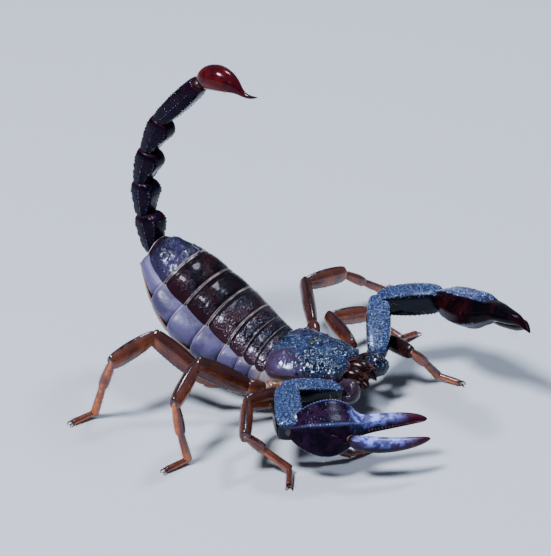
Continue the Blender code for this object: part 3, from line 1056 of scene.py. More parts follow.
@dataclass(frozen=True)
class FacetFinish(Finish):
    """Pedipalp chitin: black sides, with a painted pale blue-grey reflection of the sky over the granulated
    upper face.
    """

    # face: the painted blue-grey reflection on the upper face
    face: Colour = (0.07, 0.1, 0.17)
    face_edges: Span = (0.72, 0.9)
    scale: float = 7500.0

    def paint(self, bench: Bench, patches: Socket) -> Socket:
        """Lay the painted blue-grey reflection, broken into granules, over the upper face.

        Args:
            bench: Where the nodes are laid.
            patches: Mask of the patches.

        Returns:
            The colour.
        """
        share = bench.ramp(bench.grain(self.scale, 0.8), 0.0, 1.0, 0.2)
        # the upper face takes the painted reflection
        return bench.mix(bench.ramp("height", *self.face_edges), super().paint(bench, patches),
                         bench.mix(share, self.deep, self.face))

    def relief(self, bench: Bench) -> Socket:
        """Granules on the upper face."""
        return bench.times(bench.grain(self.scale, 0.8), bench.ramp("height", 0.5, 0.8, 0.15))


@dataclass(frozen=True)
class GrainFinish(Finish):
    """Granulated chitin all over, with painted highlights on the tops of the granules."""

    # painted highlight colour on the granule tops
    highlight_tops: Colour = (0.12, 0.17, 0.28)
    scale: float = 4200.0

    def paint(self, bench: Bench, patches: Socket) -> Socket:
        """Painted highlights on the tops of the granules."""
        return bench.mix(bench.times(bench.grain(self.scale), 0.6), super().paint(bench, patches), self.highlight_tops)

    def relief(self, bench: Bench) -> Socket:
        """Granules everywhere."""
        return bench.grain(self.scale)


@dataclass(frozen=True)
class RingFinish(GrainFinish):
    """Tail chitin: granulated, with a red-brown rim at its rear end."""

    rim: Colour = (0.018, 0.005, 0.008)

    def paint(self, bench: Bench, patches: Socket) -> Socket:
        """A rim over the granulated colour."""
        return bench.mix(bench.ramp("along", 0.955, 0.98, finish=0.8), super().paint(bench, patches),
                         self.rim)


@dataclass(frozen=True)
class ShieldFinish(GrainFinish):
    """The shield: granulated blue-black, with smooth violet lobes behind and a red-brown rim."""

    lobe: Colour = (0.085, 0.05, 0.085)
    stain: Colour = (0.022, 0.007, 0.014)
    margin: Colour = (0.17, 0.035, 0.015)
    lobe_centre: Span = (0.86, 0.14)
    lobe_reach: Span = (0.5, 0.33)

    def lobes(self, bench: Bench) -> Socket:
        """Mask the smooth lobes, which lie on both sides of the rear.

        Args:
            bench: Where the nodes are laid.

        Returns:
            The mask.
        """
        across = bench.math("ABSOLUTE", bench.stored("side"))
        squares = []
        for value, centre, reach in zip((across, bench.stored("along")), self.lobe_centre, self.lobe_reach):
            away = bench.math("DIVIDE", bench.math("SUBTRACT", value, centre), reach)
            squares.append(bench.times(away, away))
        ragged = bench.math("ADD", bench.math("SQRT", bench.math("ADD", *squares)),
                            bench.times(bench.mottle(1500.0, 0.2, 0.8), 0.75),
                            bench.times(bench.mottle(4200.0, 0.3, 0.7), 0.3))
        return bench.ramp(ragged, 1.85, 1.25)

    def paint(self, bench: Bench, patches: Socket) -> Socket:
        """Lay lobes and rim over the granulated colour.

        Args:
            bench: Where the nodes are laid.
            patches: Mask of the patches.

        Returns:
            The colour.
        """
        body = bench.mix(bench.times(self.lobes(bench), 0.9), super().paint(bench, patches),
                         bench.mix(patches, self.lobe, self.stain))
        across = bench.math("ABSOLUTE", bench.stored("side"))
        edge = bench.most(bench.ramp(across, 0.945, 0.985), bench.ramp("along", 0.975, 0.995))
        return bench.mix(edge, body, self.margin)

    def relief(self, bench: Bench) -> Socket:
        """Lay granules that give way to faint waves on the lobes.

        Args:
            bench: Where the nodes are laid.

        Returns:
            The height.
        """
        lobes = self.lobes(bench)
        rough = bench.times(super().relief(bench), bench.ramp(lobes, 0.0, 1.0, 1.0, 0.12))
        return bench.math("ADD", rough, bench.times(bench.effect(punctures, Scale=3200.0, Depth=0.3), lobes))


@dataclass(frozen=True)
class TergiteFinish(Finish):
    """Back plates: a smooth front band, red-brown sides partly tinted as a painted violet sheen, painted
    shade in the grooves and a cream line round the rear margin that is partly a painted highlight.
    """

    flank: Colour = (0.05, 0.011, 0.007)
    line: Colour = (0.5, 0.4, 0.36)
    groove: Colour = (0.006, 0.003, 0.004)
    grain: float = 0.35

    def relief(self, bench: Bench) -> Socket:
        """Fine granules over the pits."""
        return bench.math("ADD", super().relief(bench), bench.times(bench.grain(8500.0), self.grain))

    def paint(self, bench: Bench, patches: Socket) -> Socket:
        """Lay flanks, grooves and line over the patches.

        Args:
            bench: Where the nodes are laid.
            patches: Mask of the patches.

        Returns:
            The colour.
        """
        across = bench.math("ABSOLUTE", bench.stored("side"))
        along = bench.stored("along")
        # darker sides: their own colour with a painted violet sheen
        body = bench.mix(bench.ramp(across, 0.4, 0.9, finish=0.7), super().paint(bench, patches), self.flank)
        # painted shade in the rear groove and on the front tucked under the plate before
        grooves = bench.most(bench.band(along, 0.88, 0.91, 0.965, 0.985),
                             bench.band(along, 0.1, 0.15, 0.23, 0.26))
        body = bench.mix(grooves, body, self.groove)
        # cream margin lines: partly their own colour, partly a painted highlight along the rims
        edge = bench.most(bench.ramp(along, 0.991, 0.997), bench.ramp(across, 0.988, 0.997),
                          bench.times(bench.band(along, 0.205, 0.22, 0.225, 0.24), 0.3))
        # patchy breaks the margin lines into pieces
        patchy = bench.ramp(bench.mottle(1300.0, 0.38, 0.6), 0.0, 1.0, 0.35)
        return bench.mix(bench.times(edge, patchy), body, self.line)


@dataclass(frozen=True)
class SkinFinish(Finish):
    """Soft skin between the plates: violet-grey, with fine folds and cream creases."""

    crease: Colour = (0.36, 0.3, 0.29)

    def paint(self, bench: Bench, patches: Socket) -> Socket:
        """Cream in the creases and under the head."""
        pale = bench.most(bench.ramp("crease", 0.62, 0.97), bench.ramp("along", 0.36, 0.3, finish=0.8))
        return bench.mix(pale, super().paint(bench, patches), self.crease)

    def relief(self, bench: Bench) -> Socket:
        """Fine lengthwise folds."""
        return bench.effect(folds, Scale=6500.0)


@dataclass(frozen=True)
class TipFinish(Finish):
    """A hand, finger or sting whose colour changes from its root to a dark tip, with painted light on its
    upper side.
    """

    # middle: painted light on the upper side, a pale glare on the right fingers and a dark top over the
    # sting's painted red glow
    middle: Colour = (0.2, 0.2, 0.33)
    tip: Colour = (0.05, 0.006, 0.01)
    middle_edges: Span = (0.35, 0.55)
    tip_edges: Span = (0.72, 0.85)
    blotch: float = 0.65
    # keel: a painted pale blue highlight along the keel
    keel: Colour = (0.06, 0.075, 0.16)
    keel_share: float = 0.0
    # painted blue sky sheen on the faces that look up
    sheen: Colour = (0.03, 0.046, 0.125)
    sheen_share: float = 0.0
    upper_edges: Span = (-0.6, 0.3)

    def paint(self, bench: Bench, patches: Socket) -> Socket:
        """Lay the painted upper light, the painted sky sheen on top, keels with a painted highlight and the
        tip over the patches.

        Args:
            bench: Where the nodes are laid.
            patches: Mask of the patches.

        Returns:
            The colour.
        """
        blotches = bench.ramp(bench.mottle(1300.0, 0.42, 0.62), 0.0, 1.0, 1 - self.blotch)
        # painted light on the upper side, broken into blotches
        painted_upper_light = bench.times(bench.ramp("along", *self.middle_edges), bench.ramp("height", *self.upper_edges),
                            blotches)
        body = bench.mix(painted_upper_light, super().paint(bench, patches), self.middle)
        # painted sky sheen where the stored crown says the hand faces up
        crown = bench.times(bench.ramp("crown", 0.55, 0.85), bench.ramp("along", 0.66, 0.5),
                            bench.ramp(bench.grain(6500.0, 0.8), 0.0, 1.0, 0.3), self.sheen_share)
        body = bench.mix(crown, body, self.sheen)
        # painted highlight along the keels of the palm
        ridge = bench.times(bench.ramp("ridge", 0.55, 1.0), bench.ramp("along", 0.05, 0.4, 0.35),
                            self.keel_share)
        return bench.mix(bench.ramp("along", *self.tip_edges), bench.mix(ridge, body, self.keel), self.tip)


class Look(Enum):
    """Every finish of the animal."""

    LEG = LimbFinish(
        "leg_chitin", (0.1, 0.016, 0.004), (0.4, 0.095, 0.009), bump=0.14, coat=0.0, patch_scale=520.0,
        patch_edges=(0.34, 0.68), top=(0.032, 0.0105, 0.009), rim=(0.012, 0.004, 0.005), rim_share=0.8,
        rough=(0.14, 0.3), specular=0.7, tint=(0.86, 0.86, 1.0))
    THIGH = replace(
        LEG, name="thigh_chitin", deep=(0.042, 0.008, 0.004), warm=(0.17, 0.038, 0.007),
        top=(0.018, 0.006, 0.0062), rim=(0.01, 0.004, 0.005), rough=(0.12, 0.26), specular=0.5)
    # a darker, duller copy of the thigh finish: painted shade for the first legs under the pedipalps
    DARK_THIGH = LimbFinish(
        "shaded_thigh_chitin", (0.012, 0.0025, 0.0025), (0.022, 0.004, 0.003), bump=0.2,
        top=(0.004, 0.0015, 0.003), rim=(0.006, 0.003, 0.003), rim_share=0.6, specular=0.15)
    COXA = Finish("coxa_chitin", (0.05, 0.02, 0.013), (0.18, 0.11, 0.08), bump=0.2, patch_scale=900.0)
    PALP = FacetFinish(
        "palp_chitin", (0.0006, 0.0008, 0.002), (0.0014, 0.0012, 0.003), bump=0.3,
        face=(0.034, 0.058, 0.155), specular=0.2, rough=(0.12, 0.22), tint=(0.7, 0.82, 1.0))
    SOCKET = GrainFinish(
        "palp_socket_chitin", (0.008, 0.004, 0.009), (0.022, 0.009, 0.016), bump=0.2,
        highlight_tops=(0.02, 0.014, 0.032), scale=3600.0, specular=0.24)
    # The two hands are one chitin: the right one carries a painted pale glare on its fingers and keel, the
    # left one a painted sky sheen on its top.
    HAND = TipFinish(
        "right_hand_chitin", (0.0022, 0.0008, 0.0046), (0.0105, 0.0032, 0.0135), bump=0.4,
        patch_scale=900.0, middle=(0.17, 0.21, 0.66), tip=(0.022, 0.0024, 0.009), middle_edges=(0.4, 0.5),
        tip_edges=(0.62, 0.9), specular=0.04, keel_share=0.6, keel=(0.045, 0.06, 0.16), rough=(0.19, 0.3),
        blotch=0.85, coat=0.0, tint=(0.72, 0.7, 1.0))
    DARK_HAND = TipFinish(
        "left_hand_chitin", (0.0024, 0.0007, 0.0013), (0.011, 0.0018, 0.0028), bump=0.35,
        patch_scale=700.0, middle=(0.001, 0.0008, 0.002), tip=(0.006, 0.0008, 0.0018),
        tip_edges=(0.84, 0.96), specular=0.07, rough=(0.13, 0.24), sheen_share=0.9, coat=0.0,
        tint=(0.72, 0.65, 1.0))
    FINGER = TipFinish(
        "right_finger_chitin", (0.004, 0.0015, 0.006), (0.012, 0.005, 0.02), middle=(0.14, 0.17, 0.58),
        tip=(0.022, 0.0024, 0.009), middle_edges=(0.02, 0.2), tip_edges=(0.42, 0.88), bump=0.35,
        specular=0.2, blotch=0.85, tint=(0.7, 0.75, 1.0))
    # The bead finishes are coloured paler and bluer than the chitin they sit on: painted highlights on beads
    # too small to catch their own.
    KEEL = GrainFinish(
        "keel_chitin", (0.024, 0.038, 0.095), (0.07, 0.104, 0.25), bump=0.1, highlight_tops=(0.14, 0.19, 0.4),
        rough=(0.07, 0.14), specular=0.6, tint=(0.75, 0.85, 1.0))
    # the pale blue beads of the painted sky sheen on the left hand's top
    FROST = replace(
        KEEL, name="sheen_grain_chitin", deep=(0.022, 0.034, 0.09), warm=(0.09, 0.135, 0.31),
        highlight_tops=(0.17, 0.25, 0.5), specular=0.7)
    DARK_KEEL = replace(
        KEEL, name="dark_keel_chitin", deep=(0.0012, 0.001, 0.0025), warm=(0.004, 0.003, 0.007),
        highlight_tops=(0.008, 0.007, 0.016), rough=(0.08, 0.14), specular=0.24, tint=(0.75, 0.8, 1.0))
    SHIELD_GRAIN = replace(
        KEEL, name="shield_grain_chitin", deep=(0.0055, 0.009, 0.027), warm=(0.017, 0.027, 0.068),
        highlight_tops=(0.046, 0.074, 0.18), rough=(0.07, 0.13), specular=0.62, tint=(0.68, 0.83, 1.0))
    TAIL_GRAIN = replace(
        KEEL, name="tail_grain_chitin", deep=(0.002, 0.0018, 0.006), warm=(0.009, 0.008, 0.024),
        highlight_tops=(0.022, 0.022, 0.064), rough=(0.07, 0.13), specular=0.3, tint=(0.7, 0.75, 1.0))
    SHIELD = ShieldFinish(
        "shield_chitin", (0.0013, 0.0023, 0.008), (0.006, 0.011, 0.036), bump=0.24, rough=(0.07, 0.27),
        scale=5200.0, specular=0.38, highlight_tops=(0.014, 0.025, 0.072), lobe=(0.034, 0.022, 0.058),
        margin=(0.05, 0.01, 0.009), tint=(0.64, 0.81, 1.0))
    TERGITE = TergiteFinish(
        "tergite_chitin", (0.002, 0.0011, 0.0025), (0.013, 0.0034, 0.0054), bump=0.6,
        flank=(0.019, 0.006, 0.0115), line=(0.56, 0.48, 0.5), pit_scale=6000.0, rough=(0.13, 0.22),
        specular=0.24, tint=(0.78, 0.76, 1.0))
    # a darker, duller copy for plates V and VI: partly their own darker tone, partly painted shade where they
    # catch weaker highlights
    REAR_TERGITE = replace(
        TERGITE, name="rear_tergite_chitin", deep=(0.0012, 0.0007, 0.0019), warm=(0.009, 0.0022, 0.0036),
        flank=(0.013, 0.0042, 0.0082), bump=0.55, rough=(0.14, 0.25), specular=0.055, tint=(0.72, 0.7, 1.0))
    LAST_TERGITE = replace(
        TERGITE, name="last_tergite_chitin", deep=(0.0038, 0.003, 0.0115), warm=(0.014, 0.011, 0.038),
        bump=0.5, flank=(0.014, 0.0105, 0.03), pit_scale=5000.0, rough=(0.1, 0.2), specular=0.27,
        tint=(0.76, 0.8, 1.0))
    STERNITE = TergiteFinish(
        "sternite_chitin", (0.04, 0.016, 0.008), (0.08, 0.034, 0.015), bump=0.2, flank=(0.06, 0.024, 0.012),
        line=(0.12, 0.05, 0.02))
    TAIL = RingFinish(
        "tail_chitin", (0.001, 0.0006, 0.0024), (0.0062, 0.0012, 0.0042), bump=0.16,
        highlight_tops=(0.003, 0.002, 0.009), scale=3600.0, rough=(0.12, 0.24), specular=0.08, patch_scale=900.0,
        coat=0.0, tint=(0.62, 0.56, 1.0))
    # the bright red-orange underside below a dark top is a painted glow of light through the vesicle
    TELSON = TipFinish(
        "telson_chitin", (0.085, 0.003, 0.0008), (0.21, 0.013, 0.001), bump=0.04,
        middle=(0.016, 0.001, 0.0035), tip=(0.012, 0.004, 0.004), middle_edges=(0.0, 0.02),
        tip_edges=(0.68, 0.84), rough=(0.1, 0.16), blotch=0.15, upper_edges=(-0.75, 0.1), specular=0.22,
        coat=0.0, tint=(0.88, 0.52, 0.66))
    SKIN = SkinFinish(
        "pleural_skin", (0.03, 0.026, 0.064), (0.062, 0.054, 0.13), bump=0.5, rough=(0.32, 0.48),
        coat=0.0, crease=(0.2, 0.165, 0.175), specular=0.26, tint=(0.85, 0.87, 1.0))
    JOINT = SkinFinish(
        "joint_skin", (0.2, 0.11, 0.06), (0.42, 0.28, 0.18), bump=0.3, rough=(0.3, 0.45), coat=0.2,
        crease=(0.42, 0.28, 0.18))
    HINGE = SkinFinish(
        "hinge_skin", (0.04, 0.014, 0.01), (0.15, 0.07, 0.045), bump=0.2, patch_scale=1400.0,
        rough=(0.2, 0.35), crease=(0.1, 0.04, 0.025))
    COLLAR = SkinFinish(
        "collar_skin", (0.012, 0.005, 0.006), (0.032, 0.013, 0.014), bump=0.3, rough=(0.3, 0.45), coat=0.1,
        crease=(0.03, 0.012, 0.012))
    JAW = LimbFinish(
        "jaw_chitin", (0.008, 0.002, 0.0015), (0.024, 0.006, 0.0035), bump=0.45,
        top=(0.0045, 0.0016, 0.0024), rim=(0.03, 0.006, 0.004), specular=0.14, patch_scale=1500.0,
        rough=(0.14, 0.28), coat=0.0, tint=(0.9, 0.75, 0.85))
    CLAW = Finish("claw_horn", (0.02, 0.006, 0.004), (0.06, 0.016, 0.008), bump=0.1)
    HAIR = Finish("hair_horn", (0.12, 0.03, 0.012), (0.3, 0.12, 0.05), bump=0.05, coat=0.0)
    EYE = Finish(
        "eye_lens", (0.0004, 0.0004, 0.0006), (0.0008, 0.0008, 0.0012), bump=0.02, rough=(0.03, 0.06),
        coat=0.0, specular=0.2)
    COMB = Finish("comb_chitin", (0.35, 0.2, 0.1), (0.5, 0.34, 0.2), bump=0.2, coat=0.1)


# ---------------------------------------------------------------- body

@dataclass
class Carapace:
    """The shield over the head, with its eyes."""

    rows: int = 150
    columns: int = 150
    thickness: float = 0.16
    eye_forward: float = 3.35
    eye_spread: float = 0.36
    eye_radius: float = 0.29
    side_eye_radius: float = 0.11
    side_eyes: Outline = ((2.42, 6.75), (2.55, 6.42), (2.62, 6.1))
    # forward place and height of each transverse fold
    folds: Outline = ((0.7, 0.07), (1.35, 0.12), (1.95, 0.1))
    # across and forward place of each hollow
    hollows: Outline = ((0.36, 4.4), (0.3, 2.5))
    # rise and share of the radius of each ring of a lens
    lens: Outline = ((-0.5, 0.9), (0.0, 1.0), (0.35, 0.93), (0.62, 0.7), (0.78, 0.35))

    def surface(self, u: float, v: float) -> Vector:
        """Shape the shield's outer face.

        Args:
            u: Place across, from -1 to 1.
            v: Place forward, from 0 to 1.

        Returns:
            The place in the working frame.
        """
        forward = HEAD_LENGTH * v
        half_width, crest, margin = blend(HEAD_STATIONS, forward)
        across = math.sin(u * math.pi / 2 * PLATE_WRAP)
        near = abs(across)
        height = margin + (crest - margin) * max(1 - across * across, 0.0) ** 0.6
        # rear lobes, transverse folds and the furrows between them
        height += 0.22 * hump(near, 0.66, 0.2) * hump(forward, 1.35, 1.1)
        for fold, rise in self.folds:
            bend = forward + 1.6 * (near - 0.66) ** 2
            height += rise * hump(bend, fold, 0.12) * step(near, 0.4, 0.55) * step(1 - near, 0.05, 0.25)
        height -= 0.2 * hump(across, 0, 0.1) * hump(forward, 0.6, 1.5)
        height -= 0.16 * hump(near, 0.33, 0.1) * hump(forward, 1.2, 1.1)
        height -= 0.22 * hump(across, 0, 0.07) * step(forward, 3.9, 5.6)
        height += 0.1 * hump(near, 0.42, 0.25) * step(forward, 5.2, 6.8)
        # the tubercle of the median eyes, with its moat and its furrow
        tubercle = math.hypot(across * half_width / 0.62, (forward - self.eye_forward) / 0.75)
        height += 0.34 * math.exp(-tubercle ** 3) - 0.1 * math.exp(-(tubercle / 1.7) ** 4)
        height -= 0.12 * hump(across * half_width, 0, 0.12) * hump(forward, self.eye_forward, 0.55)
        for hollow_across, hollow_forward in self.hollows:
            height -= 0.16 * hump(near, hollow_across, 0.1) * hump(forward, hollow_forward, 0.35)
        # the notched front margin, the rounded corners and the rolled edges
        edge = step(near, 0.93, 1.0)
        forward -= 0.62 * hump(across, 0, 0.2) * step(v, 0.8, 1.0)
        forward -= 0.35 * step(near, 0.6, 1.0) * step(v, 0.9, 1.0)
        forward += 0.3 * near * near * (1 - v) ** 4 - 0.12 * (1 - v) ** 6
        height -= 0.25 * step(v, 0.955, 1.0)
        # unevenness, weaker on the lobes
        spread = half_width * across * (1 + 0.012 * edge)
        spot = Vector((spread * 1.5, forward * 1.5, 0))
        calm = 1 - 0.7 * step(near, 0.36, 0.56) * (1 - step(forward, 2.2, 3.2))
        wrinkle = 0.5 - abs(noise.noise(spot * 1.35 + Vector((7, 3, 0))))
        rough = 0.13 * noise.noise(spot) + 0.1 * wrinkle + 0.09 * noise.noise(spot * 2.3)
        height += rough * calm * step(1 - near, 0.0, 0.12)
        height -= 0.12 * edge
        return head_place(spread, forward, height)

    def height_at(self, across: float, forward: float) -> float:
        """Height of the shield's face over a place."""
        share = max(min(across / blend(HEAD_STATIONS, forward)[0], 0.99), -0.99)
        return self.surface(math.asin(share) / (math.pi / 2 * PLATE_WRAP), forward / HEAD_LENGTH).z

    def build(self) -> Piece:
        """Shape the shield."""
        return plate("carapace", self.columns, self.rows, self.surface, UP, self.thickness)

    def eye(self, name: str, across: float, forward: float, sink: float, radius: float) -> Piece:
        """Raise one domed lens from a small circle.

        Args:
            name: The piece's name.
            across: Its place to the left.
            forward: Its place from the shield's rear margin.
            sink: How deep its foot lies in the shield.
            radius: Its size.

        Returns:
            The lens.
        """
        side, up, _ = turned(HEAD_YAW, 4)
        foot = head_place(across, forward, self.height_at(across, forward) - sink)
        lean = (up + side * math.copysign(0.45, across)).normalized()
        level = (side - lean * side.dot(lean)).normalized()
        return swept(name, [Ring(foot + lean * rise * radius, level, lean.cross(level),
                                 oval(radius * share, radius * share, 10)) for rise, share in self.lens])

    def dress(self, shield: Piece) -> None:
        """Set the shield, its granules and its eyes in the frame.

        Args:
            shield: The built shield.
        """
        settle(shield, Look.SHIELD, "shield_plate", "prosoma")

        def chance(face: Face) -> float:
            """Cover the front and middle, and leave the rear lobes smooth.

            Args:
                face: A face of the shield.

            Returns:
                The chance of a granule there.
            """
            if face.normal.z < 0.2:
                return 0.0
            away = abs(face.side)
            smooth_lobe = step(away, 0.32, 0.48) * step(0.5 - face.along, 0.0, 0.14)
            spot = Vector((3.5 * face.side, 6.0 * face.along, 0))
            cluster = 0.3 + 0.7 * step(noise.noise(spot), -0.15, 0.25)
            return 0.5 * cluster * (1 - smooth_lobe) * step(0.98 - away, 0.0, 0.05)

        plant("carapace_granules", sites_on(shield, 7000, 0.14, 11, chance),
              Crop(Grain.BEAD, 0.075, 0.045, vary=0.45, sink=0.01), 12, Look.SHIELD_GRAIN, "shield_plate")
        for letter, sign in SIDES.items():
            settle(self.eye(f"eye_median_{letter}", sign * self.eye_spread, self.eye_forward, 0.04,
                            self.eye_radius), Look.EYE, "eye_lens", f"median_eye_{letter}")
            small = [self.eye(f"eye_side_{letter}{number}", sign * across * 0.93, forward, 0.02,
                              self.side_eye_radius)
                     for number, (across, forward) in enumerate(self.side_eyes)]
            settle(joined(f"eyes_side_{letter}", small), Look.EYE, "eye_lens")


@dataclass
class BodySkin:
    """The soft skin of head and body: one continuous form under all the plates."""

    inset: float = 0.16
    head_middle: float = 3.9
    # forward place in the head and width there
    head: Outline = ((7.0, 0.62), (6.3, 0.8), (5.0, 0.9), (3.4, 0.93), (1.8, 0.94), (0.6, 0.93))
    # place along a segment, width there and depth of crease
    lobe: Keels = (
        (0.015, 0.9, 1.0), (0.06, 0.95, 0.2), (0.18, 0.985, 0.0), (0.5, 1.03, 0.0), (0.8, 1.06, 0.0),
        (0.93, 1.06, 0.0), (0.975, 1.03, 0.4))
    full_length: float = 2.9     # length of a segment with full lobes
    tail_share: float = 0.62     # size of the last ring

    def outline(self, section: Sequence[float], swell: float) -> Outline:
        """Draw a body section below its plates.

        Args:
            section: The section's six sizes.
            swell: Width of the pleura against the section's.

        Returns:
            The outline.
        """
        plate_half, crest, corner, pleura, belly, depth = section
        crest, corner = crest - 2.2 * self.inset, corner - 0.6 * self.inset
        rise = crest - corner
        side = pleura * swell
        half = (
            (0.0, crest), (0.36 * plate_half, corner + 0.9 * rise), (0.68 * plate_half, corner + 0.6 * rise),
            (0.88 * plate_half, corner + 0.22 * rise), (0.965 * plate_half, corner - 0.08),
            (0.45 * plate_half + 0.55 * side, 0.62 * corner), (side, 0.05 * corner),
            (1.01 * side, -0.3 * depth), (0.9 * side, -0.66 * depth), (0.5 * (belly + side), -0.86 * depth),
            (0.9 * belly, -0.95 * depth), (0.0, -0.97 * depth),
        )
        return half + tuple((-across, height) for across, height in reversed(half[1:-1]))

    def rings(self) -> list[Ring]:
        """Lay rings from the front of the head to the root of the tail.

        Returns:
            The rings.
        """
        rings = []
        side, _, _ = turned(HEAD_YAW)
        middle = self.head_middle
        for forward, share in self.head:
            half_width, crest, margin = blend(HEAD_STATIONS, forward)
            section = (0.95 * half_width, crest - 0.15 - middle, margin - middle - 0.1,
                       share * half_width, 0.62 * half_width, middle - HEAD_BELLY - 0.25)
            rings.append(Ring(head_place(0, forward, middle), side, UP, self.outline(section, 1.0)))
        for number, length in enumerate(TRUNK_LENGTHS):
            size = length / self.full_length
            for share, swell, crease in self.lobe:
                centre, across, up, _, section = trunk_frame(number + share)
                outline = self.outline(section, 1 + (swell - 1) * size ** 0.5)
                lags = tuple(self.lag(height, section[-1]) * size for _, height in outline)
                rings.append(Ring(centre, across, up, outline, lags, crease))
        centre, across, up, back, section = trunk_frame(float(SEGMENTS))
        small = [value * self.tail_share for value in section]
        rings.append(Ring(centre + back * 0.1, across, up, self.outline(small, 1.0)))
        return rings

    @staticmethod
    def lag(height: float, depth: float) -> float:
        """How far a lobe's margin runs rearward at a height: rounded off at its lower corner."""
        low = step(-height / depth, 0.25, 0.95)
        return 0.1 - 0.75 * low * low

    def build(self) -> Piece:
        """Sweep the skin."""
        return swept("body_skin", self.rings())

    def dress(self, skin: Piece) -> None:
        """Set the skin in the frame."""
        settle(skin, Look.SKIN, "tergite_plate", *(f"mesosoma_{index + 1}" for index in range(SEGMENTS)))


@dataclass
class BackPlate:
    """One tergite: a smooth tucked front, a granulated middle and a raised rear rim."""

    number: int
    columns: int = 48
    rows: int = 30
    thickness: float = 0.06
    wrap: float = 0.98

    @property
    def last(self) -> bool:
        """Whether it is the plate before the tail."""
        return self.number == SEGMENTS

    @property
    def narrow(self) -> bool:
        """Whether it is one of the three short plates behind the shield."""
        return self.number < 4

    def surface(self, u: float, v: float) -> Vector:
        """Shape the outer face.

        Args:
            u: Place across, from -1 to 1.
            v: Place rearward, from 0 to 1.

        Returns:
            The place in the working frame.
        """
        front = 0.3 if self.narrow else 0.2
        at = self.number - 1 - front + (1 + front + (0.0 if self.last else 0.02)) * v
        centre, side, up, back, (plate_half, crest, corner, *_) = trunk_frame(at)
        across = math.sin(u * math.pi / 2 * self.wrap)
        near = abs(across)
        tuck = 1 - step(v, 0.0, front)
        swell = math.sin(math.pi * min(max((v - 0.1) / 0.9, 0.0), 1.0))
        rounding = 1.0 + 0.05 * swell - 0.05 * tuck
        # the arch, the tucked front, the rear rim with its groove, and the cross groove
        height = corner + (crest - corner) * max(1 - across * across, 0.0) ** 0.6
        height -= (0.12 + 0.42 * swell) * near ** 8
        height -= 0.2 * tuck
        height += 0.05 * hump(v, 0.985, 0.03) - 0.07 * hump(v, 0.9, 0.025)
        height -= 0.05 * hump(v, front + 0.03, 0.05) * (1 - 0.4 * near)
        height += 0.05 * hump(near, 0.55, 0.2) * hump(v, 0.55, 0.3)
        lag = 0.1 * near ** 4
        if self.last:     # a middle boss, two pairs of keels and a drawn-out rear
            height += 0.26 * hump(across * plate_half, 0, 0.9) * hump(v, 0.5, 0.28)
            run = step(v, 0.4, 0.6) * step(1 - v, 0.02, 0.2)
            for keel in (1.1, 2.1):
                height += 0.16 * hump(near * plate_half, keel, 0.2) * run
            height -= 0.4 * step(v, 0.7, 1.0) ** 2
            lag -= 0.42 * (1 - near ** 2.5) * step(v, 0.45, 1.0)
        spot = (centre + side * across * plate_half) * 1.2
        lumps = 0.17 if self.last else 0.03
        height += lumps * noise.noise(spot * 1.2) + 0.6 * lumps * noise.noise(spot * 3.1)
        return centre + side * across * plate_half * rounding * 1.02 + up * height - back * lag

    def build(self) -> Piece:
        """Shape the plate."""
        return plate(f"tergite_{self.number}", self.columns, self.rows, self.surface,
                     trunk_frame(self.number - 0.5)[2], self.thickness)

    def chance(self, face: Face) -> float:
        """Thicken the granules towards the rear and the sides.

        Args:
            face: A face of the plate.

        Returns:
            The chance of a granule there.
        """
        away = abs(face.side)
        if face.normal.z < 0.1 or not 0.3 <= face.along <= 0.86 or away > 0.93:
            return 0.0
        if self.last:
            return 0.75 * step(face.along, 0.3, 0.5) + 0.2
        if self.narrow:
            return 0.1 + 0.6 * step(0.62 - away, 0.0, 0.3)
        return 0.1 + 0.35 * step(face.along, 0.5, 0.85)

    def dress(self, tergite: Piece) -> None:
        """Set the plate and its granules in the frame.

        Args:
            tergite: The built plate.
        """
        looks = {5: Look.REAR_TERGITE, 6: Look.REAR_TERGITE, 7: Look.LAST_TERGITE}
        settle(tergite, looks.get(self.number, Look.TERGITE), "tergite_plate", f"mesosoma_{self.number}")
        sites = sites_on(tergite, 1500 if self.last else 900, 0.15, 30 + self.number, self.chance)
        plant(f"tergite_granules_{self.number}", sites, Crop(Grain.BEAD, 0.05, 0.035, vary=0.4),
              40 + self.number, Look.SHIELD_GRAIN if self.narrow or self.last else Look.DARK_KEEL,
              "tergite_plate")


@dataclass
class BellyPlate:
    """One sternite, flat below, with a pair of breathing slits."""

    number: int
    columns: int = 40
    rows: int = 20
    thickness: float = 0.1

    def surface(self, u: float, v: float) -> Vector:
        """Shape the outer face.

        Args:
            u: Place across, from -1 to 1.
            v: Place rearward, from 0 to 1.

        Returns:
            The place in the working frame.
        """
        centre, side, up, _, section = trunk_frame(self.number - 1 - 0.1 + 1.13 * v)
        near, half = abs(u), 0.96 * section[3]
        height = -section[5] * (1.0 - 0.45 * near ** 10) - 0.05 + 0.1 * (1 - step(v, 0.0, 0.12))
        height -= 0.04 * hump(v, 0.98, 0.03)
        if self.number < SEGMENTS:
            height += 0.16 * math.exp(-math.hypot((near - 0.6) / 0.13, (v - 0.55) / 0.05) ** 2)
        return centre + side * u * half * (1 - 0.05 * step(v, 0.85, 1.0)) + up * height

    def build(self) -> Piece:
        """Shape the plate."""
        return plate(f"sternite_{self.number}", self.columns, self.rows, self.surface,
                     -trunk_frame(self.number - 0.5)[2], self.thickness)

    def dress(self, sternite: Piece) -> None:
        """Set the plate in the frame."""
        settle(sternite, Look.STERNITE, "tergite_plate", f"mesosoma_{self.number}")


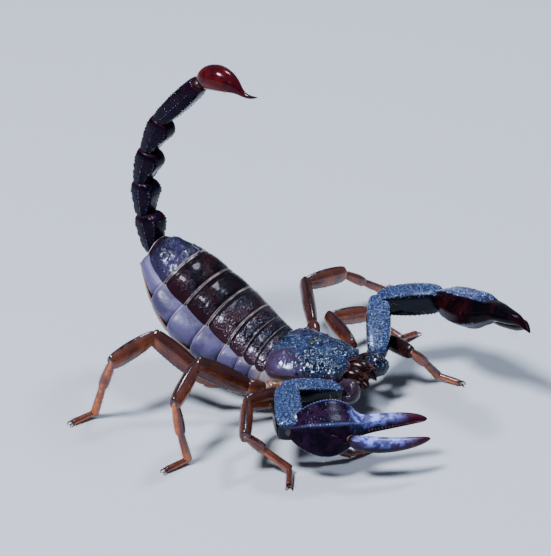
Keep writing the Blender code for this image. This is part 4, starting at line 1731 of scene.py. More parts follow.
@dataclass
class Underside:
    """Coxae, breastplate, genital cover and the two combs below head and body."""

    teeth: int = 11
    coxa_sizes: Outline = ((0.3, 0.3), (0.62, 0.5), (0.8, 0.62), (0.85, 0.72), (0.78, 0.72), (0.6, 0.6))
    palp_sizes: Outline = ((0.5, 0.5), (0.95, 0.85), (1.05, 1.0), (0.72, 0.72))
    spine_sizes: Outline = ((0.3, 0.2), (0.36, 0.2), (0.3, 0.18), (0.14, 0.12))
    spine: Keels = ((0.5, 1.55, 1.6), (1.3, 1.75, 1.55), (2.3, 2.35, 1.6), (3.25, 3.3, 1.85))
    # reach and width of a comb tooth
    tooth: Outline = ((0.0, 0.1), (0.25, 0.14), (0.6, 0.13), (0.85, 0.11), (0.95, 0.05))
    # drop and size of the breastplate's rings
    shield: Outline = ((0.35, 0.9), (0.1, 1.0), (0.0, 0.86), (0.05, 0.4))
    shield_radius: float = 0.72

    def coxa(self, letter: str, number: int) -> Piece:
        """Build one leg base, from the breastplate out to the hip.

        Args:
            letter: Its side.
            number: Its place from the front.

        Returns:
            The piece.
        """
        across, forward, _ = HIPS[number]
        across *= SIDES[letter]
        hip, trochanter = leg_joints(letter, number)[:2]
        inner = head_place(SIDES[letter] * 0.55, 0.55 * forward + 1.35, 2.15)
        middle = head_place(0.62 * across, 0.85 * forward + 0.35, 2.45)
        length = (trochanter - hip).length
        outer = hip.lerp(trochanter, max(length - 1.75, 0.25) / length)
        points = [inner, inner.lerp(middle, 0.5), middle, hip, hip.lerp(outer, 0.7), outer]
        return tube(f"coxa_{letter}{number}", points, self.coxa_sizes, 12, 2.4)

    def palp_coxa(self, letter: str) -> Piece:
        """Build the base of one pedipalp, beside the mouth.

        Args:
            letter: Its side.

        Returns:
            The piece.
        """
        points = [head_place(SIDES[letter] * across, forward, height)
                  for across, forward, height in ((0.8, 4.6, 2.5), (1.3, 6.0, 2.9), (1.75, 7.3, 3.4))]
        return tube(f"palp_coxa_{letter}", [*points, Vector(PALP_POSES[letter][0]) - UP * 0.05],
                    self.palp_sizes, 12, 2.3)

    def breastplate(self) -> Piece:
        """Build the small five-sided sternum.

        Returns:
            The piece.
        """
        side, _, ahead = turned(HEAD_YAW)
        rings = []
        for drop, share in self.shield:
            shape = []
            for index in range(10):
                angle = index * math.tau / 10
                reach = self.shield_radius * (1.25 if index in (2, 3) else 1.0)
                shape.append((reach * share * math.cos(angle), reach * share * math.sin(angle)))
            rings.append(Ring(head_place(0, 1.5, 2.05 + drop), side, ahead, tuple(shape)))
        return swept("breastplate", rings)

    def genital_cover(self) -> Piece:
        """Build two low flaps behind the breastplate.

        Returns:
            The piece.
        """
        flaps = []
        for letter, sign in SIDES.items():
            points = [head_place(sign * across, forward, height)
                      for across, forward, height in ((0.1, 0.45, 2.2), (0.55, 0.4, 2.12), (1.1, 0.4, 2.25))]
            flaps.append(tube(f"flap_{letter}", points, ((0.28, 0.14), (0.42, 0.18), (0.2, 0.1)), 10))
        return joined("genital_cover", flaps)

    def comb(self, letter: str) -> Piece:
        """Build one pectine: a jointed spine with a row of flat teeth.

        Args:
            letter: Its side.

        Returns:
            The piece.
        """
        sign = SIDES[letter]
        points = [Vector((sign * across - 0.3, back, height)) for across, back, height in self.spine]
        parts = [tube(f"comb_spine_{letter}", points, self.spine_sizes, 10)]
        tooth = swept("comb_tooth", [
            Ring(MIDDLE + Vector((0, reach, 0)), LEFT, UP, oval(width, width * 0.8, 8))
            for reach, width in self.tooth], 1)
        for index in range(self.teeth):
            share = (index + 0.6) / self.teeth * (len(points) - 1)
            before, after = points[int(share):int(share) + 2]
            run = after - before
            turn = math.atan2(run.y, run.x) - (math.pi if sign < 0 else 0) + 0.25 * sign
            copy = bpy.data.objects.new(f"comb_tooth_{index}", tooth.data.copy())
            root = place(before.lerp(after, share % 1) + Vector((0, 0.12, -0.06)))
            copy.data.transform(Matrix.Translation(root) @ Matrix.Rotation(turn, 4, "Z"))
            bpy.context.collection.objects.link(copy)
            parts.append(copy)
        bpy.data.objects.remove(tooth, do_unlink=True)
        return joined(f"comb_{letter}", parts)

    def build_and_dress(self) -> None:
        """Build every piece of the underside and set it in the frame."""
        for letter in SIDES:
            for number in HIPS:
                settle(self.coxa(letter, number), Look.COXA, "leg_plate")
            settle(self.palp_coxa(letter), Look.SOCKET, "palp_plate")
            settle(self.comb(letter), Look.COMB, "pectine_plate", f"pectine_{letter}")
        settle(self.breastplate(), Look.COXA, "leg_plate")
        settle(self.genital_cover(), Look.COXA, "leg_plate")


@dataclass
class Jaw:
    """One chelicera: a short hand with two toothed fingers."""

    letter: str
    spread: float = 0.78
    # place beyond the spread, forward place, height, half width and half height
    tubes: dict[str, Sequence[Sequence[float]]] = field(default_factory=lambda: {
        "hand": ((0.0, 6.2, 4.6, 0.5, 0.45), (0.0, 7.0, 4.6, 0.68, 0.62), (0.02, 7.8, 4.55, 0.72, 0.68),
                 (0.02, 8.4, 4.35, 0.58, 0.55), (0.0, 8.65, 4.2, 0.3, 0.3)),
        "fixed": ((-0.22, 8.15, 4.3, 0.28, 0.28), (-0.28, 8.7, 4.1, 0.24, 0.24),
                  (-0.22, 9.0, 3.8, 0.15, 0.15), (-0.05, 9.1, 3.5, 0.04, 0.04)),
        "movable": ((0.3, 8.1, 4.15, 0.3, 0.3), (0.42, 8.65, 3.9, 0.26, 0.26),
                    (0.32, 9.05, 3.6, 0.16, 0.16), (0.04, 9.2, 3.35, 0.04, 0.04)),
    })

    def build(self) -> list[Piece]:
        """Sweep hand, fixed finger and movable finger.

        Returns:
            The pieces.
        """
        parts = []
        for label, rows in self.tubes.items():
            points = [head_place(SIDES[self.letter] * (self.spread + offset), forward, height)
                      for offset, forward, height, _, _ in rows]
            parts.append(tube(f"jaw_{label}_{self.letter}", points, [tuple(row[3:]) for row in rows], 10))
        return parts

    def dress(self, parts: Sequence[Piece]) -> None:
        """Join the jaw and set it in the frame with its teeth and hairs.

        Args:
            parts: Hand, fixed finger and movable finger.
        """
        hand, fixed, movable = parts
        inward, outward = (0, 180) if self.letter == "l" else (180, 0)
        teeth = crest_lines(fixed, (inward,), 0.45, 0.85, 4) + crest_lines(movable, (outward,), 0.45, 0.85, 4)
        plant(f"jaw_teeth_{self.letter}", teeth, Crop(Grain.TOOTH, 0.06, 0.08), 5, Look.CLAW, "leg_plate")
        hairs = sites_on(hand, 120, 0.12, 6, lambda face: step(face.along, 0.5, 0.8))
        plant(f"jaw_hairs_{self.letter}", hairs, Crop(Grain.HAIR, 0.014, 0.45, 1.2), 7, Look.HAIR,
              "leg_plate")
        settle(joined(f"jaw_{self.letter}", parts), Look.JAW, "leg_plate", f"chelicera_{self.letter}")


# ---------------------------------------------------------------- tail

@dataclass
class TailSegment:
    """One keeled ring of the tail."""

    index: int
    sides: int = 20
    hump_height: float = 0.55
    overlap: Span = (0.25, 0.2)     # how far it reaches past its joints
    keels: Keels = ((45, 0.1, 9), (135, 0.1, 9), (9, 0.07, 9), (171, 0.07, 9), (-45, 0.07, 9),
                    (-135, 0.07, 9), (90, -0.1, 14))
    # share of the length, size, and share of the humps over the dorsal rear end
    stations: Keels = ((0.02, 0.5, -0.3), (0.0, 0.68, -0.35), (0.04, 0.78, -0.35), (0.16, 0.85, -0.25),
                       (0.34, 0.92, 0.1), (0.5, 0.97, 0.65), (0.64, 1.0, 1.1), (0.76, 1.02, 1.25),
                       (0.87, 1.0, 1.05), (0.95, 0.93, 0.65), (0.99, 0.8, 0.25), (0.985, 0.6, 0.0))
    last_stations: Keels = ((0.02, 0.5, 0.0), (0.0, 0.66, 0.0), (0.05, 0.8, 0.0), (0.2, 0.94, 0.0),
                            (0.45, 1.02, 0.1), (0.7, 1.02, 0.15), (0.88, 0.97, 0.1), (0.97, 0.88, 0.0),
                            (1.0, 0.74, 0.0), (0.98, 0.52, 0.0))

    def build(self) -> Piece:
        """Sweep the ring.

        Returns:
            The piece.
        """
        start, end = (Vector((0, *joint)) for joint in TAIL_JOINTS[self.index:self.index + 2])
        along, length = (end - start).normalized(), (end - start).length
        width, depth = TAIL_HALF_WIDTHS[self.index], TAIL_HALF_DEPTHS[self.index]
        stations = self.stations
        if self.index == len(TAIL_HALF_WIDTHS) - 1:
            width, depth, stations = 1.04 * width, 1.06 * depth, self.last_stations
        rings = []
        for share, size, rise in stations:
            shape = oval(width * size, depth * size, self.sides, 2.2, self.keels, 0.3)
            outline = tuple((across, height + rise * self.hump_height * step(height, 0.0, depth))
                            for across, height in shape)
            centre = start + along * ((length + sum(self.overlap)) * share - self.overlap[0])
            rings.append(Ring(centre, LEFT, LEFT.cross(along), outline))
        return swept(f"tail_ring_{self.index + 1}", rings)

    def dress(self, ring: Piece) -> None:
        """Set the ring, its beaded keels and its granules in the frame.

        Args:
            ring: The built ring.
        """
        number = self.index + 1
        settle(ring, Look.TAIL, "tail_plate", f"metasoma_{number}")
        beads = crest_lines(ring, (45, 135, 9, 171, -45, -135), 0.18, 0.82, 15)
        plant(f"tail_keels_{number}", beads, Crop(Grain.BEAD, 0.09, 0.085, vary=0.45), 60 + self.index,
              Look.TAIL_GRAIN, "tail_plate")
        loose = sites_on(ring, 260, 0.2, 70 + self.index,
                         lambda face: step(face.along, 0.1, 0.2) * step(0.9 - face.along, 0, 0.1))
        plant(f"tail_granules_{number}", loose, Crop(Grain.BEAD, 0.05, 0.035, vary=0.4), 80 + self.index,
              Look.TAIL_GRAIN, "tail_plate")


@dataclass
class Telson:
    """The glossy vesicle that runs out into the sting."""

    sides: int = 14
    slimness: float = 0.94

    def build(self) -> Piece:
        """Sweep vesicle and sting in one.

        Returns:
            The piece.
        """
        frames = path_frames([Vector((0, *spot)) for spot in TELSON_PATH])
        return swept("telson", [
            Ring(centre - up * bulge, side, up, oval(radius * self.slimness, radius, self.sides))
            for (centre, side, up), radius, bulge in zip(frames, TELSON_RADII, TELSON_BULGES)])

    def dress(self, telson: Piece) -> None:
        """Set the telson and its few hairs in the frame.

        Args:
            telson: The built telson.
        """
        settle(telson, Look.TELSON, "telson_plate", "telson_vesicle", "telson_sting")
        sites = sites_on(telson, 90, 0.35, 90,
                         lambda face: step(face.along, 0.1, 0.2) * step(0.6 - face.along, 0, 0.1))
        plant("telson_hairs", sites, Crop(Grain.HAIR, 0.012, 0.42, 0.6), 91, Look.HAIR, "telson_plate")


# ---------------------------------------------------------------- limbs

class LimbShape(Enum):
    """Outlines of a limb piece, as (share of its length, size, rise) rows."""

    SPINDLE = ((0.0, 0.4, 0.0), (0.01, 0.58, 0.0), (0.07, 0.74, 0.0), (0.28, 0.93, 0.03), (0.55, 1.02, 0.05),
               (0.8, 0.95, 0.03), (0.93, 0.86, 0.0), (0.985, 0.72, 0.0), (1.0, 0.5, 0.0), (0.98, 0.3, 0.0))
    CLUB = ((0.0, 0.4, 0.0), (0.01, 0.56, 0.0), (0.08, 0.7, 0.0), (0.3, 0.88, 0.03), (0.6, 1.02, 0.05),
            (0.82, 1.02, 0.03), (0.94, 0.92, 0.0), (0.985, 0.76, 0.0), (1.0, 0.55, 0.0), (0.98, 0.3, 0.0))
    BOX = ((0.0, 0.42, 0.0), (0.01, 0.6, 0.0), (0.07, 0.8, 0.0), (0.25, 0.97, 0.0), (0.52, 1.06, 0.03),
           (0.8, 1.0, 0.0), (0.92, 0.88, 0.0), (0.98, 0.72, 0.0), (1.0, 0.55, 0.0), (0.98, 0.4, 0.0))
    ROD = ((0.0, 0.6, 0.0), (0.03, 0.8, 0.0), (0.15, 0.92, 0.0), (0.5, 0.96, 0.0), (0.85, 1.04, 0.0),
           (0.97, 1.02, 0.0), (1.0, 0.85, 0.0), (0.98, 0.6, 0.0))


@dataclass(frozen=True)
class Girth:
    """The section of a limb piece: its sizes, its number of sides, its boxiness and its ridges."""

    half_width: float
    half_height: float
    sides: int = 12
    squareness: float = 2.0
    keels: Keels = ()
    facets: float = 0.0


def limb(name: str, start: Vector, end: Vector, shape: LimbShape, girth: Girth) -> Piece:
    """Sweep one straight limb piece between two joints.

    Args:
        name: The piece's name.
        start: Its joint nearer the body.
        end: Its joint further out.
        shape: How it swells along its length.
        girth: Its section.

    Returns:
        The piece.
    """
    wide, tall = girth.half_width, girth.half_height
    along = (end - start).normalized()
    up = (UP - along * UP.dot(along)).normalized()
    start, end = start - along * 0.12 * wide, end + along * 0.4 * wide
    length = (end - start).length
    ridges = ridge_values(girth.sides, girth.keels)
    return swept(name, [
        Ring(start + along * length * share + up * rise * tall, along.cross(up), up,
             oval(wide * size, tall * size, girth.sides, girth.squareness, girth.keels, girth.facets),
             ridges=ridges) for share, size, rise in shape.value])


def joint_skin(name: str, before: Vector, joint: Vector, after: Vector, radius: float, reach: float) -> Piece:
    """Sweep a short bent sleeve of soft skin through a joint.

    Args:
        name: The piece's name.
        before: The joint before it.
        joint: The joint.
        after: The joint after it.
        radius: Its size.
        reach: How far it runs to each side.

    Returns:
        The piece.
    """
    entering, leaving = (joint - before).normalized(), (after - joint).normalized()
    points = [joint - entering * reach, joint - entering * 0.4 * reach, joint, joint + leaving * 0.4 * reach,
              joint + leaving * reach]
    return tube(name, points, [radius * share for share in (0.5, 0.92, 1.0, 0.92, 0.5)], 8, levels=1)


@dataclass
class Leg:
    """One walking leg, from its trochanter to its two claws."""

    letter: str
    number: int
    femur_radius: float = 1.02
    patella_radius: float = 0.92
    tibia_radius: float = 0.5
    metatarsus_radius: float = 0.4
    tarsus_radius: float = 0.33
    keels: Keels = ((90, 0.05, 12), (-64, 0.08, 10), (-116, 0.08, 10))
    # place to the side, ahead and up, and radius, along a claw
    claw: Sequence[Sequence[float]] = (
        (0.1, -0.08, 0.02, 0.11), (0.16, 0.2, 0.1, 0.1), (0.24, 0.44, 0.02, 0.08),
        (0.27, 0.58, -0.13, 0.05), (0.28, 0.6, -0.26, 0.014))

    @property
    def label(self) -> str:
        """The start of its pieces' names."""
        return f"leg_{self.letter}{self.number}"

    def build(self) -> dict[str, Piece]:
        """Build all the hard pieces and the skin of the joints.

        Returns:
            The pieces by name.
        """
        hip, trochanter, knee, ankle, tibia, basitarsus, toe = leg_joints(self.letter, self.number)
        scale = LEG_SCALES[self.number]
        ahead = (toe - basitarsus) * Vector((1, 1, 0))
        ahead.normalize()
        toe = Vector((toe.x, toe.y, SOLE_HEIGHT))
        length = (trochanter - hip).length
        socket = hip.lerp(trochanter, max(length - 1.6, 0.35) / length)
        femur, patella = self.femur_radius * scale, self.patella_radius * scale
        keeled = (14, 2.1, self.keels, 0.25)
        rows = (
            ("trochanter", LimbShape.CLUB, Girth(0.62 * scale, 0.72 * scale)),
            ("femur", LimbShape.SPINDLE, Girth(0.78 * femur, femur, *keeled)),
            ("patella", LimbShape.SPINDLE, Girth(0.88 * patella, patella, *keeled)),
            ("tibia", LimbShape.CLUB, Girth(self.tibia_radius * 0.92, self.tibia_radius)),
            ("metatarsus", LimbShape.ROD, Girth(self.metatarsus_radius * 0.9, self.metatarsus_radius)),
            ("tarsus", LimbShape.ROD, Girth(self.tarsus_radius * 0.88, self.tarsus_radius * 0.92)),
        )
        joints = [hip, socket, trochanter, knee, ankle, tibia, basitarsus, toe]
        parts = {key: limb(f"{self.label}_{key}", start, end, shape, girth)
                 for (key, shape, girth), start, end in zip(rows, joints[1:], joints[2:])}
        radii = (0.42 * scale, 0.42 * scale, 0.46 * scale, 0.33, 0.28, 0.24)
        sleeves = [joint_skin(f"{self.label}_sleeve", *around, radius, radius * 0.9)
                   for *around, radius in zip(joints, joints[1:], joints[2:], radii)]
        parts["skin"] = joined(f"{self.label}_joint_skin", sleeves)
        parts["claws"] = self.claws(toe, ahead)
        return parts

    def claws(self, toe: Vector, ahead: Vector) -> Piece:
        """Build two curved claws and the small one between them.

        Args:
            toe: Where they stand.
            ahead: Where they point.

        Returns:
            The joined claws.
        """
        across = ahead.cross(UP)
        parts = []
        for index, (sign, reach, thick) in enumerate(((-1, 1.0, 1.0), (1, 1.0, 1.0), (0, 0.55, 0.7))):
            points = [toe + across * side * sign + ahead * front * reach + UP * rise * reach
                      for side, front, rise, _ in self.claw]
            points[0] = toe + across * 0.1 * sign - ahead * 0.08 + UP * 0.02
            parts.append(tube(f"claw_{index}", points, [row[3] * thick for row in self.claw], 8, levels=1))
        return joined(f"{self.label}_claws", parts)

    def dress(self, parts: dict[str, Piece]) -> None:
        """Set the leg in the frame, with hairs, spines and beads.

        Args:
            parts: Its pieces.
        """
        name = self.label
        seed = 100 + 10 * self.number + (5 if self.letter == "l" else 0)
        hairy = {"trochanter": 16, "femur": 34, "patella": 34, "tibia": 40, "metatarsus": 60, "tarsus": 70}
        sites, cells = [], []
        for cell, (key, count) in enumerate(hairy.items()):
            found = sites_on(parts[key], count * 2, 0.16, seed + cell,
                             lambda face: 0.3 + 0.5 * step(-face.height, -0.2, 0.6))
            sites += found
            cells += [(cell, len(hairy))] * len(found)
        plant(f"{name}_hairs", sites, Crop(Grain.HAIR, 0.013, 0.4, 0.9, vary=0.45), seed, Look.HAIR,
              "leg_plate", cells)
        spines = []
        for angle in (-60, -120):
            spines += crest_lines(parts["tarsus"], (angle,), 0.2, 0.9, 6)
            spines += crest_lines(parts["metatarsus"], (angle,), 0.3, 0.95, 5)
        plant(f"{name}_spines", spines, Crop(Grain.TOOTH, 0.03, 0.13, 0.8), seed + 8, Look.CLAW, "leg_plate")
        beads = [site for key in ("femur", "patella")
                 for site in crest_lines(parts[key], (-64, -116), 0.15, 0.88, 16)]
        plant(f"{name}_beads", beads, Crop(Grain.BEAD, 0.05, 0.05), seed + 9, Look.CLAW, "leg_plate")
        # the first legs take the painted-shade copy
        thigh = Look.DARK_THIGH if self.number == 1 else Look.THIGH
        settle(parts["trochanter"], thigh, "leg_plate", f"{name}_femur")
        settle(parts["femur"], thigh, "leg_plate", f"{name}_femur")
        # the left first patella takes the painted shade too
        settle(parts["patella"], thigh if name == "leg_l1" else Look.LEG, "leg_plate", f"{name}_patella")
        foot = joined(f"{name}_foot_shell", [parts[key] for key in ("tibia", "metatarsus", "tarsus")])
        settle(foot, Look.LEG, "leg_plate", f"{name}_foot")
        settle(parts["skin"], Look.JOINT, "leg_plate")
        settle(parts["claws"], Look.CLAW, "leg_plate")


@dataclass
class Palp:
    """One pedipalp: trochanter, femur, patella and the hand with its two fingers."""

    letter: str
    arm: float = 1.12
    fore: float = 1.32
    socket: float = 1.18
    half_width: float = 1.75
    sides: int = 20
    palm_run: float = 6.1     # length of the palm for which its rows are written
    corners: Keels = ((45, 0.08, 9), (135, 0.08, 9), (-45, 0.06, 9), (-135, 0.06, 9))
    palm_keels: Keels = ((171, 0.2, 9), (99, 0.14, 9), (-99, 0.08, 9), (9, 0.1, 9), (45, 0.05, 9),
                         (-45, 0.05, 9))
    finger_keels: Keels = ((171, 0.14, 9), (99, 0.12, 9), (-99, 0.08, 9))
    # share of the length and size
    fixed_rows: Outline = ((0.15, 0.74), (0.35, 0.68), (0.55, 0.6), (0.72, 0.5), (0.86, 0.37), (0.95, 0.24),
                           (1.0, 0.07))
    movable_rows: Outline = ((0.0, 0.3), (0.02, 0.44), (0.08, 0.58), (0.2, 0.66), (0.4, 0.63), (0.6, 0.55),
                             (0.78, 0.43), (0.9, 0.3), (0.96, 0.19), (1.0, 0.06))

    def __post_init__(self) -> None:
        """Read the pose and lay out the hand, whose fingers are closed on the left."""
        *spots, roll = PALP_POSES[self.letter]
        self.trochanter, self.elbow, self.wrist, self.fixed_tip, self.movable_tip = map(Vector, spots)
        self.forward = (0.5 * (self.fixed_tip + self.movable_tip) - self.wrist).normalized()
        inward = self.fixed_tip - self.movable_tip
        self.inward = (inward - self.forward * inward.dot(self.forward)).normalized()
        level = UP.cross(self.forward).normalized()
        level = level if level.dot(self.inward) > 0 else -level
        upright = (UP - self.forward * UP.dot(self.forward)).normalized()
        tilt = math.radians(roll)
        self.deep = upright * math.cos(tilt) + level * math.sin(tilt)
        self.wide = level * math.cos(tilt) - upright * math.sin(tilt)
        self.closed = self.letter == "l"
        self.palm_length, self.arch, self.stout, self.half_depth = (
            (7.3, 0.8, 1.45, 2.2) if self.closed else (6.1, 0.0, 1.0, 2.45))
        self.fixed_root = self.wrist + self.forward * self.palm_length + self.inward * 0.35
        self.finger_root = self.wrist + self.forward * (self.palm_length - 1.0) - self.inward * 1.35

    @property
    def label(self) -> str:
        """The start of its pieces' names."""
        return f"palp_{self.letter}"

    def build(self) -> dict[str, Piece]:
        """Build all the pieces of the pedipalp.

        Returns:
            The pieces by name.
        """
        name = self.label
        outward = (self.elbow - self.trochanter).normalized()
        start = self.trochanter + outward * 1.1
        base = head_place(SIDES[self.letter] * 1.9, 7.1, 3.55)
        points = [base, base.lerp(self.trochanter, 0.5),
                  *(self.trochanter + outward * reach for reach in (0.0, 0.7, 1.2, 1.1))]
        parts = {"trochanter": tube(f"{name}_trochanter_shell", points, [
            self.socket * share for share in (0.45, 0.85, 1.04, 1.0, 0.78, 0.5)], 14, 2.1)}
        parts["femur"] = limb(f"{name}_femur_shell", start, self.elbow, LimbShape.BOX,
                              Girth(self.arm, 0.9 * self.arm, self.sides, 3.4, self.corners))
        parts["patella"] = limb(f"{name}_patella_shell", self.elbow, self.wrist, LimbShape.BOX,
                                Girth(self.fore, 0.95 * self.fore, self.sides, 3.0, self.corners))
        parts["skin"] = joined(f"{name}_joint_skin", [
            joint_skin(f"{name}_wrist", self.elbow, self.wrist, self.wrist + self.forward, 0.72, 0.7),
            joint_skin(f"{name}_shoulder", self.trochanter, start, self.elbow, 0.6, 0.45)])
        hinge = self.finger_root + self.inward * 0.42 + self.lift(0)
        parts["hinge"] = joint_skin(f"{name}_hinge_skin", hinge - self.forward, hinge,
                                    hinge + self.forward - 0.3 * self.inward,
                                    0.42 * (0.6 if self.closed else 1), 0.62)
        parts["elbow"] = joint_skin(f"{name}_elbow_skin", self.trochanter, self.elbow, self.wrist, 0.8, 0.75)
        parts["hand"] = self.hand(f"{name}_hand_shell")
        parts["finger"] = self.finger(f"{name}_finger_shell")
        return parts

    def lift(self, share: float) -> Vector:
        """How far closed fingers arch up at a place along them."""
        return UP * self.arch * (math.sin(math.pi * (0.25 + 0.75 * share)) + 0.65 * hump(share, 0.82, 0.13))

    def hand(self, name: str) -> Piece:
        """Sweep palm and fixed finger in one, with a strong keel along the outer face.

        Args:
            name: The piece's name.

        Returns:
            The piece.
        """
        wide, deep = self.half_width, self.half_depth
        bold = ridge_values(self.sides, self.palm_keels[:2])
        slim = (*self.finger_keels, (9, 0.04, 9))
        run = self.palm_length / self.palm_run
        # place ahead, shift inwards, half width and half depth
        palm = ((-0.1, 0.0, 0.42, 0.45), (0.15, 0.0, 0.8, 0.9), (0.75, 0.0, 1.15, 1.45),
                (1.6, 0.0, 0.9 * wide, 2.0), (2.8, 0.0, wide, 0.98 * deep), (3.9, 0.08, wide, deep),
                (4.9, 0.2, 0.94 * wide, 0.87 * deep), (5.6, 0.3, 0.8 * wide, 0.68 * deep),
                (6.2, 0.35, 0.82 * self.stout, 0.95 * self.stout))
        rings = [Ring(self.wrist + self.forward * ahead * run + self.inward * offset
                      + self.lift(0) * step(ahead, 3.4, 6.2), self.wide, self.deep,
                      oval(width, depth, self.sides, 1.9, self.palm_keels, 0.45), ridges=bold)
                 for ahead, offset, width, depth in palm]
        for share, size in self.fixed_rows:
            bow = self.inward * 0.14 * math.sin(math.pi * share) - self.inward * 0.16 * step(share, 0.8, 1.0)
            stout = 1 + (self.stout - 1) * (1 - share ** 2)
            outline = oval(size * 0.9 * stout, size * 1.1 * stout, self.sides, 2.0, slim, 0.3 * (1 - share))
            rings.append(Ring(self.fixed_root.lerp(self.fixed_tip, share) + bow + self.lift(share), self.wide,
                              self.deep, outline, ridges=bold))
        return swept(name, rings)

    def finger(self, name: str) -> Piece:
        """Sweep the movable finger, bowed outwards.

        Args:
            name: The piece's name.

        Returns:
            The piece.
        """
        rings = []
        for share, size in self.movable_rows:
            bow = self.inward * (-0.62 * math.sin(math.pi * share ** 0.8) + 0.12 * step(share, 0.8, 1.0))
            stout = 1 + 0.6 * (self.stout - 1) * (1 - share ** 2)
            outline = oval(size * 0.9 * stout, size * 1.08 * stout, self.sides, 2.0, self.finger_keels)
            rings.append(Ring(self.finger_root.lerp(self.movable_tip, share) + bow + self.lift(share),
                              self.wide, self.deep, outline))
        return swept(name, rings)

    def dress(self, parts: dict[str, Piece]) -> None:
        """Set the pedipalp in the frame with its beaded edges, granules and hairs.

        Args:
            parts: Its pieces.
        """
        name, closed = self.label, self.closed
        seed = 300 if closed else 400
        arm = ("femur", "patella")
        beads = [site for key in arm
                 for site in crest_lines(parts[key], (45, 135, -45, -135), 0.08, 0.93, 26)]
        plant(f"{name}_beads", beads, Crop(Grain.BEAD, 0.085, 0.07, vary=0.4, sink=0.01), seed,
              Look.SHIELD_GRAIN, "palp_plate")
        ball = sites_on(parts["trochanter"], 900 if closed else 60, 0.17, seed + 13,
                        lambda face: 0.9 * step(face.along, 0.2, 0.4))
        plant(f"{name}_ball_granules", ball, Crop(Grain.BEAD, 0.085, 0.055, vary=0.4), seed + 14,
              Look.SHIELD_GRAIN, "palp_plate")
        fine = [site for key in arm
                for site in sites_on(parts[key], 1500, 0.15, seed + 1,
                                     lambda face: 0.9 * step(face.height, 0.6, 0.85)
                                     * step(face.along, 0.05, 0.1) * step(0.95 - face.along, 0, 0.04))]
        plant(f"{name}_granules", fine, Crop(Grain.BEAD, 0.065, 0.045, vary=0.5), seed + 2, Look.KEEL,
              "palp_plate")
        self.dress_hand(parts, seed)
        settle(parts["trochanter"], Look.DARK_KEEL if closed else Look.SOCKET, "palp_plate",
               f"{name}_trochanter")
        for key in arm:
            settle(parts[key], Look.PALP, "palp_plate", f"{name}_{key}")
        settle(parts["skin"], Look.COLLAR, "palp_plate")
        settle(parts["elbow"], Look.JOINT if closed else Look.COLLAR, "palp_plate")
        settle(parts["hinge"], Look.HINGE, "hand_plate")
        settle(parts["hand"], Look.DARK_HAND if closed else Look.HAND, "hand_plate", f"{name}_hand")
        settle(parts["finger"], Look.DARK_HAND if closed else Look.FINGER, "hand_plate", f"{name}_finger")

    def dress_hand(self, parts: dict[str, Piece], seed: int) -> None:
        """Set teeth, beaded keels, granules and long feeling hairs on the hand.

        Args:
            parts: The pedipalp's pieces.
            seed: Seed of the random draws.
        """
        name, hand = self.label, parts["hand"]
        facing = math.degrees(math.atan2(self.inward.dot(self.deep), self.inward.dot(self.wide)))
        teeth = (crest_lines(hand, (facing + 180,), 0.56, 0.96, 44)
                 + crest_lines(parts["finger"], (facing,), 0.1, 0.95, 44))
        plant(f"{name}_finger_teeth", teeth, Crop(Grain.BEAD, 0.075, 0.1), seed + 3, Look.CLAW, "hand_plate")
        keel = [site for angle, end in ((171, 0.75), (99, 0.5), (9, 0.5), (-99, 0.45))
                for site in crest_lines(hand, (angle,), 0.08, end, 60)]
        plant(f"{name}_hand_keels", keel, Crop(Grain.BEAD, 0.07, 0.045, vary=0.45, sink=0.01), seed + 4,
              Look.KEEL, "hand_plate")
        # how far each vertex faces up, for the painted sky sheen
        write_values(hand.data, "crown", [vertex.normal.z for vertex in hand.data.vertices])
        granule_chance = 0.95 if self.closed else 0.12
        sites = sites_on(hand, 4200, 0.12, seed + 5, lambda face: step(face.normal.z, 0.55, 0.85)
                         * step(0.62 - face.along, 0, 0.12) * granule_chance)
        plant(f"{name}_hand_granules", sites, Crop(Grain.BEAD, 0.06, 0.05, vary=0.5), seed + 6,
              Look.FROST if self.closed else Look.SHIELD_GRAIN, "hand_plate")
        hairs, cells = [], []
        hairy = ("femur", "patella", "hand", "finger")
        for cell, key in enumerate(hairy):
            found = sites_on(parts[key], 40, 0.5, seed + 7 + cell, lambda face: 0.7)
            hairs += found
            cells += [(cell, len(hairy))] * len(found)
        plant(f"{name}_hairs", hairs, Crop(Grain.HAIR, 0.012, 0.75, 0.3, vary=0.5), seed + 12, Look.HAIR,
              "palp_plate", cells)


# ---------------------------------------------------------------- stage

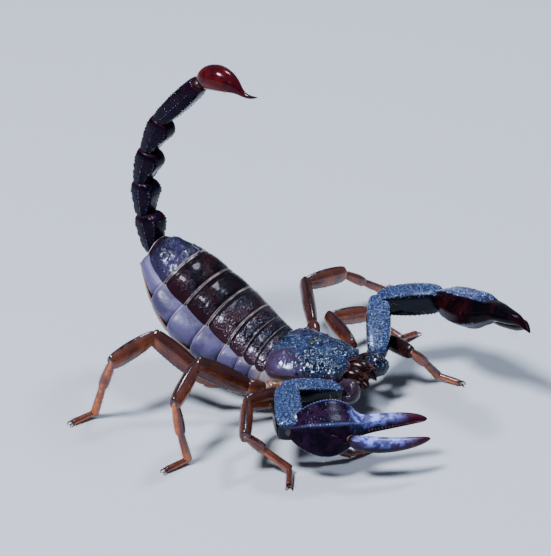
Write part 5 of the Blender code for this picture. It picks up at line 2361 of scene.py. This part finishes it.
@dataclass(frozen=True)
class Studio:
    """Floor, lights and camera."""

    distance: float = 280.0
    focal: float = 195.8
    sensor: float = 36.0
    aim_right: float = -1.53
    aim_up: float = 11.1
    floor_size: float = 1.6
    lamp_distance: float = 0.5
    lamp_height: float = 0.012
    # name, azimuth, elevation, size, power and colour
    lamps: Sequence[tuple[str, float, float, float, float, Colour]] = (
        ("key_light", 168, 60, 0.12, 8.0, (0.93, 0.95, 1.0)),
        ("crown_light", -8, 62, 0.1, 2.4, (0.8, 0.88, 1.0)))

    def floor(self) -> None:
        """Lay a pale floor that runs far behind."""
        deselect()
        bpy.ops.mesh.primitive_plane_add(size=self.floor_size, location=(0, 0, 0))
        ground = bpy.context.object
        ground.name = "studio_floor"
        paint = bpy.data.materials.new("floor_paint")
        paint.use_nodes = True
        shader = paint.node_tree.nodes["Principled BSDF"]
        shader.inputs["Base Color"].default_value = (0.31, 0.335, 0.385, 1)
        shader.inputs["Roughness"].default_value = 0.7
        ground.data.materials.append(paint)

    def light(self, name: str, azimuth: float, elevation: float, size: float, power: float,
              colour: Colour) -> None:
        """Hang one soft round light that looks at the model.

        Args:
            name: Its name.
            azimuth: Where it hangs, in degrees from +X towards +Y.
            elevation: How high it hangs, in degrees.
            size: Its width in metres.
            power: Its power in watts.
            colour: Its colour.
        """
        lamp = bpy.data.lights.new(name, "AREA")
        lamp.shape, lamp.size, lamp.energy, lamp.color = "DISK", size, power, colour
        holder = bpy.data.objects.new(name, lamp)
        turn, rise = math.radians(azimuth), math.radians(elevation)
        back = Vector((math.cos(turn) * math.cos(rise), math.sin(turn) * math.cos(rise), math.sin(rise)))
        holder.location = back * self.lamp_distance + UP * self.lamp_height
        holder.rotation_euler = back.to_track_quat("Z", "Y").to_euler()
        bpy.context.collection.objects.link(holder)

    def camera(self) -> None:
        """Set the camera at the recorded viewing angle."""
        back = Vector((-0.718, -0.484, 0.5)).normalized()
        right, up = Vector((0.559, -0.829, 0.0)), Vector((0.4145, 0.2796, 0.866))
        lens = bpy.data.cameras.new("view")
        lens.lens, lens.sensor_width, lens.clip_start, lens.clip_end = self.focal, self.sensor, 0.01, 10.0
        eye = bpy.data.objects.new("view", lens)
        bpy.context.collection.objects.link(eye)
        eye.location = place(back * self.distance)
        target = place(right * self.aim_right + up * self.aim_up)
        eye.rotation_euler = (target - eye.location).to_track_quat("-Z", "Y").to_euler()
        bpy.context.scene.camera = eye

    def build(self) -> None:
        """Set floor, lights, surroundings and camera."""
        self.floor()
        for lamp in self.lamps:
            self.light(*lamp)
        world = bpy.data.worlds.new("studio_air")
        world.use_nodes = True
        air = world.node_tree.nodes["Background"]
        air.inputs["Color"].default_value = (0.68, 0.8, 1.0, 1)
        air.inputs["Strength"].default_value = 0.22
        bpy.context.scene.world = world
        self.camera()


# ---------------------------------------------------------------- assembly

def tail_skin() -> Piece:
    """Sweep the soft sleeves between the tail's rings.

    Returns:
        The joined sleeves.
    """
    centre = trunk_frame(6.6)[0]
    chain = [Vector((0, *spot)) for spot in ((centre.y, centre.z), *TAIL_JOINTS, TELSON_PATH[2])]
    return joined("tail_joint_skin", [
        joint_skin("tail_sleeve", *around, radius, 0.5)
        for *around, radius in zip(chain, chain[1:], chain[2:], (0.75, 0.55, 0.55, 0.55, 0.6, 0.5))])


def main() -> None:
    """Build the whole animal and its stage; each piece's face count is logged as it is set."""
    logging.basicConfig(level=logging.INFO, format="%(message)s")
    trunk = [BodySkin(), Carapace(), *map(BackPlate, range(1, SEGMENTS + 1)),
             *map(BellyPlate, range(3, SEGMENTS + 1))]
    for part in trunk:
        part.dress(part.build())
    Underside().build_and_dress()
    for part in (*map(Jaw, SIDES), *map(TailSegment, range(len(TAIL_HALF_WIDTHS))), Telson()):
        part.dress(part.build())
    settle(tail_skin(), Look.COLLAR, "tail_plate")
    for letter in SIDES:
        for part in (Palp(letter), *(Leg(letter, number) for number in HIPS)):
            part.dress(part.build())
    Studio().build()


if __name__ == "__main__":
    main()
